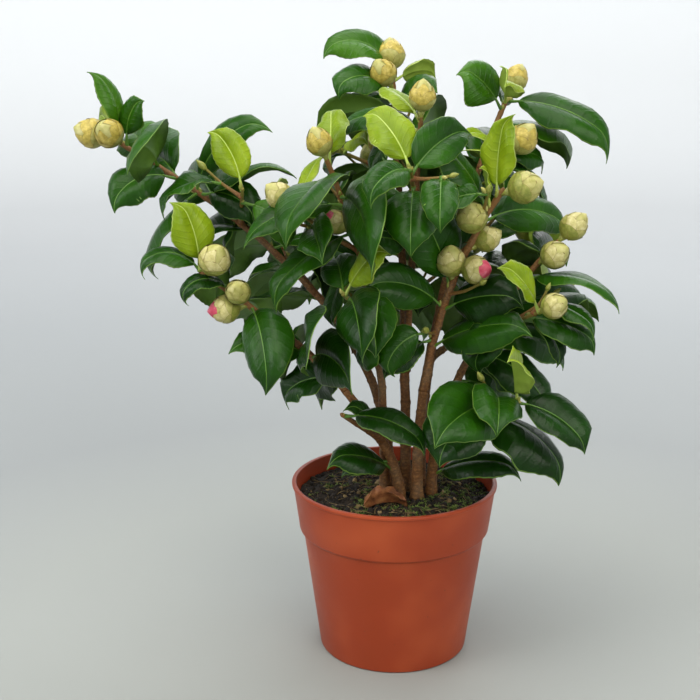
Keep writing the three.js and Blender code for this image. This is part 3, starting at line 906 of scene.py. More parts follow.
    def lay_leaves(self, axis: Axis, rule: LeafRule) -> None:
        """One leaf to a node, turned on by the spiral, the first of its turns and slopes that fits.

        Args:
            axis: What carries them.
            rule: Their spacing, sizes and slopes.
        """
        random = Stream(axis.seed + rule.seed)
        run = float(np.linalg.norm(axis.points[-1] - axis.points[0]))
        spread = self.plans[axis.mass].spread
        nodes = max(rule.fewest, int(run / (rule.internode * spread) + 0.5) + 1)
        first = 360 * random()
        for node in range(nodes):
            share = (node / (nodes - 1)) ** 0.85
            at = between(rule.limb_span if axis.limb else rule.twig_span, share)
            last = node == nodes - 1 and not rule.fine
            young = last and not any(one.axis is axis and one.young for one in self.leaves)
            length = between(self.young_length if young else rule.length, random())
            length *= 1 if axis.limb else self.twig_share
            slender = between(rule.slender, random())
            droop = between(rule.droop, random()) * (0.5 if young else 1)
            rise = between(self.young_rise if young else rule.rise, random())
            sway = between(self.sway, random())
            course = axis.course(at)
            for tried in range(rule.tries):
                lower, turned = divmod(tried, self.turns)
                turn = first + node * self.spiral + turned * self.turn_step
                size = length * (1 - self.size_step * lower)
                slope = rise - self.slope_step * lower
                leaf = Leaf(at, turn, slope, droop, size, size * slender, 0, young, fine=rule.fine)
                leaf.roll = self.facing_roll(leaf, axis) + sway
                leaf.stalk = rule.stalk
                lean = float(heading_of(turn, leaf.rise) @ course)
                if self.is_open(axis.mass, turn) or not self.lean[0] < lean < self.lean[1]:
                    continue
                if self.leaf_fits(leaf.rooted(axis), rule):
                    self.leaves.append(leaf)
                    if rule.fine:
                        self.taken.update(self.cells(leaf.samples))
                    break


# Finishes


def linear(code: str) -> tuple[float, float, float, float]:
    """An sRGB hex value as linear colour: the power 2.4 of each channel above the toe.

    Args:
        code: The value, such as #98461A.

    Returns:
        Red, green, blue and an alpha of one.
    """
    parts = [int(code[i : i + 2], 16) / 255 for i in (1, 3, 5)]
    red, green, blue = (v / 12.92 if v <= 0.04045 else ((v + 0.055) / 1.055) ** 2.4 for v in parts)
    return red, green, blue, 1.0


def add_node(
    tree: bpy.types.NodeTree,
    kind: str,
    settings: dict[str | int, object] | None = None,
    out: str | int = 0,
    **links: Socket,
) -> Socket:
    """Adds one node with its settings and links.

    Args:
        tree: The material's node tree.
        kind: The node's type, without its ShaderNode prefix.
        settings: Node properties, input values under the input's name or number, and under stops
            a ramp's places with their sRGB hex values.
        out: The output that is wanted, by name or number.
        **links: What feeds an input, under the input's name with _ for a space, or i and its number.

    Returns:
        One output of the new node.
    """
    node = tree.nodes.new("ShaderNode" + kind)
    for name, value in (settings or {}).items():
        if name == "stops":
            ends = node.color_ramp.elements
            while len(ends) < len(value):
                ends.new(0.5)
            for end, (place, code) in zip(ends, value):
                end.position = place
                end.color = linear(code)
        elif isinstance(name, int) or name in node.inputs:
            node.inputs[name].default_value = value
        else:
            setattr(node, name, value)
    for name, source in links.items():
        key = int(name[1:]) if name[1:].isdigit() else name.replace("_", " ")
        tree.links.new(source, node.inputs[key])
    return node.outputs[out]


def new_material(name: str, **values: object) -> tuple[Material, bpy.types.NodeTree, bpy.types.Node]:
    """An empty material with a Principled shader.

    Args:
        name: The material's name.
        **values: Input values of the shader, with _ for a space.

    Returns:
        The material, its tree and its shader.
    """
    material = bpy.data.materials.new(name)
    material.use_nodes = True
    tree = material.node_tree
    shader = tree.nodes["Principled BSDF"]
    for key, value in values.items():
        shader.inputs[key.replace("_", " ")].default_value = value
    return material, tree, shader


def feed(shader: bpy.types.Node, **sources: Socket) -> None:
    """Links sockets to the shader's inputs, under their names with _ for a space."""
    for name, source in sources.items():
        shader.id_data.links.new(source, shader.inputs[name.replace("_", " ")])


@dataclass(frozen=True)
class MouldedPlastic:
    """Polypropylene, injection moulded: even terracotta colour, a soft satin gloss, some dust.

    The patterns' scales are waves to the metre: drift 45 mm, dust 17 mm, specks 3 mm, grit 1 mm.
    """

    base: str = "#983A1A"
    pale: str = "#AC4C27"
    worn: str = "#933817"
    dirt: str = "#5A3423"
    drift: float = 22.0
    dust: float = 60.0
    specks: float = 330.0
    grit: float = 900.0
    grit_depth: float = 0.00004

    def build(self) -> Material:
        """Colour drifts a little, specks of peat lie here and there, and dust dulls the gloss.

        Returns:
            The material.
        """
        material, tree, shader = new_material(
            "polypropylene_moulded", Roughness=0.42, IOR=1.49, Specular_IOR_Level=0.32
        )
        place = add_node(tree, "TexCoord", out="Object")
        drift = add_node(tree, "TexNoise", {"Scale": self.drift, "Detail": 2.0}, Vector=place)
        stops = [(0.3, self.worn), (0.5, self.base), (0.75, self.pale)]
        colour = add_node(tree, "ValToRGB", {"stops": stops}, i0=drift)
        fine = {"Scale": self.specks, "Detail": 3.0, "Roughness": 0.6}
        speck = add_node(tree, "TexNoise", fine, Vector=place)
        dirty = add_node(tree, "MapRange", {1: 0.7, 2: 0.76, 3: 0.0, 4: 0.7}, i0=speck)
        blend = {"data_type": "RGBA", 7: linear(self.dirt)}
        soiled = add_node(tree, "Mix", blend, 2, i0=dirty, i6=colour)
        fine = {"Scale": self.dust, "Detail": 6.0, "Roughness": 0.65}
        dust = add_node(tree, "TexNoise", fine, Vector=place)
        sheen = add_node(tree, "MapRange", {1: 0.3, 2: 0.75, 3: 0.38, 4: 0.5}, i0=dust)
        grit = add_node(tree, "TexNoise", {"Scale": self.grit, "Detail": 2.0}, Vector=place)
        relief = add_node(tree, "Bump", {"Distance": self.grit_depth, "Strength": 1.0}, Height=grit)
        feed(shader, Base_Color=soiled, Roughness=sheen, Normal=relief)
        return material


@dataclass(frozen=True)
class Mottled:
    """A rough or waxy natural matter whose colour drifts between three tones."""

    name: str
    tones: tuple[str, str, str]
    grain_mm: float
    roughness: float
    depth_mm: float = 0.0
    coat: float = 0.0
    subsurface: float = 0.0
    spread: tuple[float, float] = (0.32, 0.7)

    def build(self) -> Material:
        """Noise of the grain's size picks the tone, and a finer one gives the relief.

        Returns:
            The material.
        """
        material, tree, shader = new_material(
            self.name,
            Roughness=self.roughness,
            Coat_Weight=self.coat,
            Coat_Roughness=0.22,
            Subsurface_Weight=self.subsurface,
            Subsurface_Radius=(0.002, 0.003, 0.001),
            Subsurface_Scale=1.0,
        )
        place = add_node(tree, "TexCoord", out="Object")
        scale = 1 / (self.grain_mm * MM)
        drift = add_node(tree, "TexNoise", {"Scale": scale, "Detail": 5.0, "Roughness": 0.6}, Vector=place)
        low, high = self.spread
        stops = list(zip((low, (low + high) / 2, high), self.tones))
        feed(shader, Base_Color=add_node(tree, "ValToRGB", {"stops": stops}, i0=drift))
        if self.depth_mm:
            fine = add_node(tree, "TexNoise", {"Scale": scale * 2.2, "Detail": 4.0}, Vector=place)
            relief = {"Distance": self.depth_mm * MM, "Strength": 1.0}
            feed(shader, Normal=add_node(tree, "Bump", relief, Height=fine))
        return material


@dataclass(frozen=True)
class Bark:
    """Young camellia bark: thin, cinnamon brown with grey patches, finely flecked."""

    name: str
    deep: str
    base: str
    pale: str
    tip: str
    lichen: str = "#8C8266"
    flecks: Place = (9.0, 70.0, 1.0)
    patches: float = 95.0
    depth: float = 0.0005

    def build(self) -> Material:
        """Flecks on the UV map, nine to a turn and 1.4 mm high, grey patches, and the tip's tone.

        Age runs from 0 at a limb's foot to 1 at its tip, and the tip's tone comes in from 0.72.

        Returns:
            The material.
        """
        material, tree, shader = new_material(self.name, Roughness=0.62)
        skin = add_node(tree, "UVMap", {"uv_map": "UVMap"})
        long = add_node(tree, "Mapping", {"Scale": self.flecks}, Vector=skin)
        streak = add_node(tree, "TexNoise", {"Scale": 1.0, "Detail": 6.0, "Roughness": 0.66}, Vector=long)
        place = add_node(tree, "TexCoord", out="Object")
        patch = add_node(tree, "TexNoise", {"Scale": self.patches, "Detail": 3.0}, Vector=place)
        stops = [(0.3, self.deep), (0.5, self.base), (0.68, self.pale)]
        wood = add_node(tree, "ValToRGB", {"stops": stops}, i0=streak)
        grey = add_node(tree, "ValToRGB", {"stops": [(0.42, self.base), (0.66, self.lichen)]}, i0=patch)
        mixed = add_node(tree, "Mix", {"data_type": "RGBA", 0: 0.22}, 2, i6=wood, i7=grey)
        age = add_node(tree, "Attribute", {"attribute_name": "age"}, "Fac")
        fresh = add_node(tree, "MapRange", {1: 0.72, 2: 1.0}, i0=age)
        blend = {"data_type": "RGBA", 7: linear(self.tip)}
        tip = add_node(tree, "Mix", blend, 2, i0=fresh, i6=mixed)
        relief = add_node(tree, "Bump", {"Distance": self.depth, "Strength": 1.0}, Height=streak)
        feed(shader, Base_Color=tip, Normal=relief)
        return material


@dataclass(frozen=True)
class Blade:
    """The upper side of a camellia leaf: leathery and waxed, with sunken veins."""

    name: str
    tones: tuple[str, str, str]
    roughness: float = 0.31
    coat: float = 0.08
    glow: float = 0.0
    drift: float = 34.0
    pores: float = 620.0
    veins: float = 9.0
    vein_lean: float = -0.24
    depth: float = 0.00013

    def build(self) -> Material:
        """Tone drifts over 30 mm, veins sink in at each ninth of the length, and pores pit it.

        A vein lies where the place along, less a share of the place across, meets a ninth.

        Returns:
            The material.
        """
        material, tree, shader = new_material(
            self.name,
            Roughness=self.roughness,
            IOR=1.42,
            Specular_IOR_Level=0.22,
            Coat_Weight=self.coat,
            Coat_Roughness=0.2,
            Subsurface_Weight=self.glow,
            Subsurface_Radius=(0.001, 0.002, 0.0005),
            Subsurface_Scale=1.0,
        )
        place = add_node(tree, "TexCoord", out="Object")
        fine = {"Scale": self.drift, "Detail": 4.0, "Roughness": 0.55}
        drift = add_node(tree, "TexNoise", fine, Vector=place)
        colour = add_node(tree, "ValToRGB", {"stops": list(zip((0.34, 0.5, 0.68), self.tones))}, i0=drift)
        skin = add_node(tree, "UVMap", {"uv_map": "UVMap"})
        split = add_node(tree, "SeparateXYZ", Vector=skin).node
        across = add_node(tree, "Math", {"operation": "ABSOLUTE"}, i0=split.outputs[0])
        slant = {"operation": "MULTIPLY_ADD", 1: self.vein_lean}
        lean = add_node(tree, "Math", slant, i0=across, i2=split.outputs[1])
        phase = add_node(tree, "Math", {"operation": "MULTIPLY", 1: self.veins}, i0=lean)
        saw = add_node(tree, "Math", {"operation": "PINGPONG", 1: 0.5}, i0=phase)
        vein = add_node(tree, "MapRange", {1: 0.0, 2: 0.17, 3: 1.0, 4: 0.0}, i0=saw)
        net = add_node(tree, "TexVoronoi", {"Scale": self.pores, "feature": "DISTANCE_TO_EDGE"}, Vector=place)
        cell = add_node(tree, "MapRange", {1: 0.0, 2: 0.25, 3: 0.0, 4: 0.3}, i0=net)
        height = add_node(tree, "Math", {"operation": "SUBTRACT"}, i0=cell, i1=vein)
        relief = add_node(tree, "Bump", {"Distance": self.depth, "Strength": 1.0}, Height=height)
        feed(shader, Base_Color=colour, Normal=relief)
        return material


# Meshes


def put(name: str, data: bpy.types.ID) -> bpy.types.Object:
    """Puts a new object into the scene.

    Args:
        name: Its name.
        data: Its mesh, light or camera.

    Returns:
        The object.
    """
    made = bpy.data.objects.new(name, data)
    bpy.context.scene.collection.objects.link(made)
    return made


def round_angles(count: int) -> Array:
    """Angles spread evenly once round."""
    return 2 * math.pi * np.arange(count) / count


def run_along(course: Array) -> Array:
    """How far each of a path's points lies along it, in millimetres."""
    return np.concatenate([[0], np.cumsum(np.linalg.norm(np.diff(course, axis=0), axis=1))])


def spun(radius: Array, height: Array, count: int) -> Array:
    """A profile turned round the upright: the radius by the cosine and the sine of the angle.

    Args:
        radius: The profile's distance from the upright, row by row.
        height: Its height in each row.
        count: The points in a ring.

    Returns:
        Rows by count by 3.
    """
    angle = round_angles(count)
    flat = radius[:, None]
    return np.stack([flat * np.cos(angle), flat * np.sin(angle), np.repeat(height[:, None], count, 1)], -1)


def faces_of(rows: int, columns: int, wide: int) -> Whole:
    """The corners of each face of a grid whose points are numbered row by row.

    Args:
        rows: The grid's rows.
        columns: Its columns.
        wide: The faces in a row, as many as the columns where the rows close.

    Returns:
        Rows of faces by 4 corners.
    """
    i, j = np.meshgrid(np.arange(rows - 1), np.arange(wide), indexing="ij")
    here, right = i * columns + j, i * columns + (j + 1) % columns
    return np.stack([here, right, right + columns, here + columns], -1).reshape(-1, 4)


class Skin:
    """Gathers grids of points in millimetres into one mesh of several finishes."""

    def __init__(self, materials: list[Material]) -> None:
        """Starts empty.

        Args:
            materials: The finishes that faces pick by number.
        """
        self.materials = materials
        self.points: list[Array] = []
        self.ages: list[Array] = []
        self.quads: list[tuple[Whole, Whole, Array]] = []
        self.trios: list[tuple[Whole, Whole, Array]] = []
        self.count = 0

    def add(
        self,
        grid: Array,
        slot: Whole | int = 0,
        uv: Array | None = None,
        age: Array | float = 0.0,
        ring: bool = False,
        capped: bool = False,
    ) -> None:
        """Adds a grid of points, rows by columns.

        Args:
            grid: The points, rows by columns by 3.
            slot: The finish of each face, or one for all.
            uv: Map places, rows by columns by 2, with one column more where the rows close.
            age: A number for each point, or one for all, which finishes can read.
            ring: Whether each row closes on itself.
            capped: Whether the first and last rows are closed by a fan round their middle.
        """
        rows, columns = grid.shape[:2]
        wide = columns if ring else columns - 1
        quads = faces_of(rows, columns, wide)
        if uv is None:
            uv = np.zeros((rows, wide + 1, 2))
        corners = np.stack([uv[:-1, :-1], uv[:-1, 1:], uv[1:, 1:], uv[1:, :-1]], -2).reshape(-1, 4, 2)
        slots = np.broadcast_to(np.asarray(slot), (rows - 1, wide)).reshape(-1)
        points = grid.reshape(-1, 3)
        ages = np.broadcast_to(np.asarray(age, float), (rows, columns)).reshape(-1)
        if capped:
            ends = np.stack([grid[0].mean(0), grid[-1].mean(0)])
            points = np.concatenate([points, ends])
            ages = np.concatenate([ages, ages[[0, -1]]])
            around = np.arange(columns)
            after = (around + 1) % columns
            last = (rows - 1) * columns
            low = np.stack([np.full(columns, rows * columns), after, around], -1)
            high = np.stack([np.full(columns, rows * columns + 1), last + around, last + after], -1)
            trios = np.concatenate([low, high]) + self.count
            poles = np.repeat(np.stack([uv[0, 0], uv[-1, 0]]), columns, 0)[:, None].repeat(3, 1)
            self.trios.append((trios, np.repeat([slots[0], slots[-1]], columns), poles))
        self.points.append(points)
        self.ages.append(ages)
        self.quads.append((quads + self.count, slots, corners))
        self.count += len(points)

    def piece(self, name: str, nodes: list[str], slot: str) -> bpy.types.Object:
        """Makes the mesh, and hides the CAD nodes that it stands for.

        Args:
            name: The piece's name.
            nodes: The CAD nodes that it replaces.
            slot: Not used.

        Returns:
            The object, at the origin, in metres.
        """
        mesh = bpy.data.meshes.new(name)
        points = np.concatenate(self.points) * MM
        gathered = self.quads + self.trios
        quads, trios = (np.concatenate([one[0] for one in kind]) for kind in (self.quads, self.trios))
        starts = np.concatenate([np.arange(len(quads)) * 4, 4 * len(quads) + np.arange(len(trios)) * 3])
        mesh.vertices.add(len(points))
        mesh.vertices.foreach_set("co", points.ravel())
        mesh.loops.add(quads.size + trios.size)
        mesh.loops.foreach_set("vertex_index", np.concatenate([quads.ravel(), trios.ravel()]))
        mesh.polygons.add(len(starts))
        mesh.polygons.foreach_set("loop_start", starts)
        mesh.polygons.foreach_set("material_index", np.concatenate([one[1] for one in gathered]))
        mesh.polygons.foreach_set("use_smooth", np.ones(len(starts), bool))
        maps = np.concatenate([one[2].reshape(-1, 2) for one in gathered])
        mesh.update(calc_edges=True)
        mesh.uv_layers.new(name="UVMap").data.foreach_set("uv", maps.ravel())
        mesh.attributes.new("age", "FLOAT", "POINT").data.foreach_set("value", np.concatenate(self.ages))
        for material in self.materials:
            mesh.materials.append(material)
        mesh.update()
        made = put(name, mesh)
        finish_piece(made, nodes)
        return made


def finish_piece(made: bpy.types.Object, nodes: list[str]) -> None:
    """Rides a piece on the one body, hides the nodes it replaces, and reports it.

    Args:
        made: The piece's object.
        nodes: The CAD nodes that it replaces.
    """
    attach(made, "root")
    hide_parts(*nodes)
    made.data.calc_loop_triangles()
    LOG.info("%s: %d triangles", made.name, len(made.data.loop_triangles))


# A direction that no path follows, which fixes where its rings start.
ASIDE = np.array([0.31, 0.94, 0.12])


def carry(course: Array, radius: Array, sides: int, wave: Array | None = None) -> Array:
    """Carries a ring along a path.

    Args:
        course: The path's points, one row each.
        radius: The radius at each, or at each point of each ring.
        sides: The points in a ring.
        wave: What is added to the radius, rows by sides.

    Returns:
        Rings by sides by 3: centre plus radius times the cosine and sine of the angle, in the
        plane square to the path.
    """
    ahead = unit(np.gradient(course, axis=0))
    across = unit(np.cross(ASIDE, ahead))
    over = np.cross(ahead, across)
    angle = round_angles(sides)
    rows = len(course)
    size = np.broadcast_to(np.asarray(radius, float).reshape(rows, -1), (rows, sides))
    if wave is not None:
        size = size + wave
    ring = np.cos(angle)[None, :, None] * across[:, None] + np.sin(angle)[None, :, None] * over[:, None]
    return course[:, None] + size[..., None] * ring


def tube_map(course: Array, sides: int) -> Array:
    """Map places for a tube: once round in U, millimetres of length over 100 in V."""
    return np.stack(np.meshgrid(np.arange(sides + 1) / sides, run_along(course) / 100), -1)


# Pieces


@dataclass
class Pot:
    """The round nursery pot, moulded in one piece with six drainage holes."""

    height: float = 102
    rim: float = 60
    lip: float = 2.2
    lip_depth: float = 0.9
    band_foot: float = 55.6
    ledge: float = 74
    ledge_step: float = 2.2
    foot: float = 43.5
    wall: float = 1.6
    floor: float = 2
    hole: float = 4
    hole_ring: float = 33
    holes: int = 6
    round_points: int = 144
    centre_gap: float = 0.05

    def corners(self) -> list[tuple[float, float, float]]:
        """The wall's section as radius, height and the rounding of each corner.

        Returns:
            One row to a corner, from the underside's middle round to the floor's.
        """
        neck = self.band_foot - self.ledge_step
        mouth = self.rim - self.lip_depth
        inside = neck - self.wall
        return [
            (0.0, 0.0, 0),
            (self.foot, 0.0, 1.2),
            (neck, self.ledge - 1.6, 0.9),
            (self.band_foot, self.ledge, 0.8),
            (self.band_foot + 0.3, self.ledge + 2.2, 0.5),
            (mouth - 0.12, self.height - self.lip - 1.0, 0.3),
            (mouth, self.height - self.lip, 0.4),
            (self.rim, self.height - self.lip + 0.3, 0.35),
            (self.rim, self.height, 0.75),
            (mouth - self.wall, self.height, 0.6),
            (self.band_foot - self.wall, self.ledge + 1, 0.8),
            (inside, self.ledge - 1, 0.6),
            (self.foot - self.wall, self.floor, 0.8),
            (0.0, self.floor, 0),
        ]

    def profile(self) -> Array:
        """The section with each corner rounded: its two tangent points and the curve between.

        Returns:
            Radius and height of each point.
        """
        rows = []
        given = self.corners()
        for place, (radius, height, rounding) in enumerate(given):
            here = np.array([radius, height])
            if not rounding:
                rows.append(here[None])
                continue
            back = unit(np.array(given[place - 1][:2]) - here)
            ahead = unit(np.array(given[place + 1][:2]) - here)
            t = np.linspace(0, 1, 6)[:, None]
            rows.append(here + back * rounding * (1 - t) ** 2 + ahead * rounding * t**2)
        return np.concatenate(rows)

    def build(self, finish: Material) -> None:
        """Turns the section round the upright and drills the holes.

        Args:
            finish: The plastic.
        """
        section = self.profile()
        section[0, 0] = section[-1, 0] = self.centre_gap
        skin = Skin([finish])
        skin.add(spun(section[:, 0], section[:, 1], self.round_points)[::-1], ring=True, capped=True)
        self.drill(skin.piece("pot_shell", ["pot"], "pot_plastic"))

    def drill(self, pot: bpy.types.Object) -> None:
        """Cuts the drainage holes through the floor with upright rods.

        Args:
            pot: The pot's object, whose mesh is cut.
        """
        rods = Skin([])
        for hole in range(self.holes):
            turn = 2 * math.pi * (hole + 0.5) / self.holes
            middle = self.hole_ring * np.array([math.cos(turn), math.sin(turn)])
            course = np.array([[*middle, -2.0], [*middle, 1.0], [*middle, 4.0]])
            rods.add(carry(course, np.full(3, self.hole), 24), ring=True, capped=True)
        mesh = bpy.data.meshes.new("rods")
        faces = [face for one in rods.quads + rods.trios for face in one[0].tolist()]
        mesh.from_pydata((np.concatenate(rods.points) * MM).tolist(), [], faces)
        cutter = put("rods", mesh)
        cut = pot.modifiers.new("holes", "BOOLEAN")
        cut.operation, cut.object, cut.solver = "DIFFERENCE", cutter, "EXACT"
        graph = bpy.context.evaluated_depsgraph_get()
        holed = bpy.data.meshes.new_from_object(pot.evaluated_get(graph))
        pot.modifiers.remove(cut)
        pot.data = holed
        bpy.data.objects.remove(cutter)


@dataclass
class RootBall:
    """Moist peat that fills the pot, with crumbs, fibres, moss and one withered leaf."""

    level: float = 95
    flat: float = 34
    edge_drop: float = 1.8
    reach: float = 56.0
    crumbs: int = 1500
    fibres: int = 260
    moss_tufts: int = 420
    seed: int = 5
    ripples: tuple[Place, ...] = ((0.75, 16, 1), (0.45, 5.5, 2), (0.28, 2.4, 3))
    side: tuple[Span, ...] = ((55.6, 88.0), (52.9, 76.5), (51.2, 72.0), (41.4, 2.4), (0.1, 2.4))
    round_points: int = 200
    rings: int = 70

    def height(self, x: Array, y: Array) -> Array:
        """The peat's level: flat in the middle, lower at the wall, uneven by three ripples.

        Args:
            x: Places to the right.
            y: Places to the back.

        Returns:
            Their heights.
        """
        away = np.hypot(x, y)
        drop = self.edge_drop * np.clip((away - self.flat) / (self.reach - self.flat), 0, 1)
        spot = np.stack([x, y, np.zeros_like(x)], -1)
        rough = sum(height * ripple(spot, size, seed) for height, size, seed in self.ripples)
        return self.level - 0.5 - drop + rough

    def build(self, peat: Material, fibre: Material, moss: list[Material], dead: Material) -> None:
        """Makes the ball and everything that lies on it.

        Args:
            peat: The finish of the ball and most crumbs.
            fibre: That of the fibres and pale crumbs.
            moss: Those that tufts are dealt.
            dead: That of the withered leaf.
        """
        self.build_ball(peat)
        self.build_crumbs(peat, fibre)
        self.build_moss(moss)
        self.build_withered_leaf(dead)

    def build_ball(self, peat: Material) -> None:
        """A closed body: the uneven top as a disc of rings, then the side and the underside.

        Args:
            peat: Its finish.
        """
        angle = round_angles(self.round_points)
        away = np.linspace(0.1, self.reach, self.rings)[:, None]
        x, y = away * np.cos(angle), away * np.sin(angle)
        top = np.stack([x, y, self.height(x, y)], -1)
        wall = spun(*np.array(self.side).T, self.round_points)
        skin = Skin([peat])
        skin.add(np.concatenate([top, wall])[::-1], ring=True, capped=True)
        skin.piece("peat_ball", ["root_ball"], "peat")

    def spots(self, draw: Generator, count: int, reach: float) -> tuple[Array, Array]:
        """Seeded places spread evenly over the peat.

        Args:
            draw: What every draw comes from.
            count: How many.
            reach: How far from the middle they go.

        Returns:
            Their places to the right and to the back.
        """
        away = reach * np.sqrt(draw.uniform(0, 1, count))
        turn = draw.uniform(0, 2 * math.pi, count)
        return away * np.cos(turn), away * np.sin(turn)

    def build_crumbs(self, peat: Material, fibre: Material) -> None:
        """Makes the crumbs and fibres as one piece.

        Args:
            peat: The finish of most crumbs.
            fibre: That of fibres and pale crumbs.
        """
        draw = np.random.default_rng(self.seed)
        skin = Skin([peat, fibre])
        self.add_crumbs(skin, draw)
        self.add_fibres(skin, draw)
        skin.piece("peat_crumbs", ["root_ball"], "peat")

    def add_crumbs(self, skin: Skin, draw: Generator) -> None:
        """Adds crumbs: four uneven rings of five points each, about one in eleven pale.

        Args:
            skin: What they are added to.
            draw: What every draw comes from.
        """
        x, y = self.spots(draw, self.crumbs, self.reach - 1.5)
        middles = np.stack([x, y, self.height(x, y)], -1)
        size = draw.gamma(2.2, 0.32, self.crumbs) + 0.35
        pale = draw.uniform(0, 1, self.crumbs) < 0.09
        for place in range(self.crumbs):
            along = np.array([-0.9, -0.45, 0.35, 0.9]) * size[place]
            course = middles[place] + np.outer(along, unit(draw.normal(size=3)))
            ring = carry(course, np.array([0.35, 0.9, 0.85, 0.3]) * size[place], 5)
            ring += draw.normal(0, 0.13 * size[place], ring.shape)
            skin.add(ring, slot=int(pale[place]), ring=True, capped=True)

    def add_fibres(self, skin: Skin, draw: Generator) -> None:
        """Adds fibres: thin tubes that bend on the level and rise a little in their middle.

        Args:
            skin: What they are added to.
            draw: What every draw comes from.
        """
        x, y = self.spots(draw, self.fibres, self.reach - 9)
        z = self.height(x, y)
        t = np.linspace(0, 1, 6)
        for place in range(self.fibres):
            turn = draw.uniform(0, 2 * math.pi)
            bend = draw.uniform(-1.6, 1.6)
            long = draw.uniform(5, 15)
            way = turn + bend * t
            run = np.cumsum(np.stack([np.cos(way), np.sin(way)], -1), 0) * long / 6
            lift = draw.uniform(0.2, 1.8) * np.sin(math.pi * t) + 0.3
            course = np.column_stack([x[place] + run[:, 0], y[place] + run[:, 1], z[place] + lift])
            skin.add(carry(course, np.full(6, draw.uniform(0.1, 0.24)), 4), slot=1, ring=True, capped=True)

    def build_moss(self, moss: list[Material]) -> None:
        """Moss in patches: tufts of short pointed blades where a slow ripple is high.

        Args:
            moss: The finishes that tufts are dealt.
        """
        draw = np.random.default_rng(self.seed + 1)
        skin = Skin(moss)
        x, y = self.spots(draw, self.moss_tufts * 3, self.reach - 2)
        spot = np.stack([x, y, np.zeros_like(x)], -1)
        near = np.hypot(x - 10, y) > 16
        patch = ripple(spot, 30, 9) + 0.2 * draw.normal(size=len(x)) + (x - y) / 90
        keep = np.flatnonzero((patch > 0.22) & near)
        z = self.height(x, y)
        for place in keep[: self.moss_tufts]:
            slot = int(draw.integers(0, len(moss)))
            foot = np.array([x[place], y[place], z[place] - 0.4])
            for blade in range(10):
                turn = blade * math.radians(SPIRAL) + draw.normal(0, 0.3)
                way = unit(np.array([math.cos(turn), math.sin(turn), draw.uniform(0.25, 1.9)]))
                long = draw.uniform(1.4, 3.8)
                bend = np.array([0, 0, -0.22 * long])
                course = foot + np.outer([0, 0.5 * long, long], way) + np.outer([0, 0.1, 1.0], bend)
                skin.add(carry(course, np.array([0.24, 0.3, 0.04]), 3), slot=slot, ring=True, capped=True)
        skin.piece("moss", ["root_ball"], "peat")

    def build_withered_leaf(self, dead: Material) -> None:
        """One curled brown leaf that lies against the stems.

        Args:
            dead: Its finish.
        """
        leaf = Leaf(0, 10, 28, 62, 28, 15, 20, fold=0.5, curl=0.2)
        leaf.base = np.array([-17, -29, 95.6])
        leaf.root = leaf.base - heading_of(leaf.turn, leaf.rise) * 5
        foliage = LeafMaker(rows=26)
        skin = Skin([dead])
        foliage.add_blade(skin, leaf, LeafTone.WITHERED, np.random.default_rng(3), crumple=1.0)
        skin.piece("withered_leaf", ["root_ball"], "foliage")


class LeafTone(Enum):
    """The finishes of a leaf: which slots its face, back, rib and margin take."""

    DEEP = (0, 4, 6, 7)
    MID = (1, 4, 6, 7)
    FRESH = (2, 4, 6, 7)
    YOUNG = (3, 5, 8, 8)
    WITHERED = (0, 0, 0, 0)


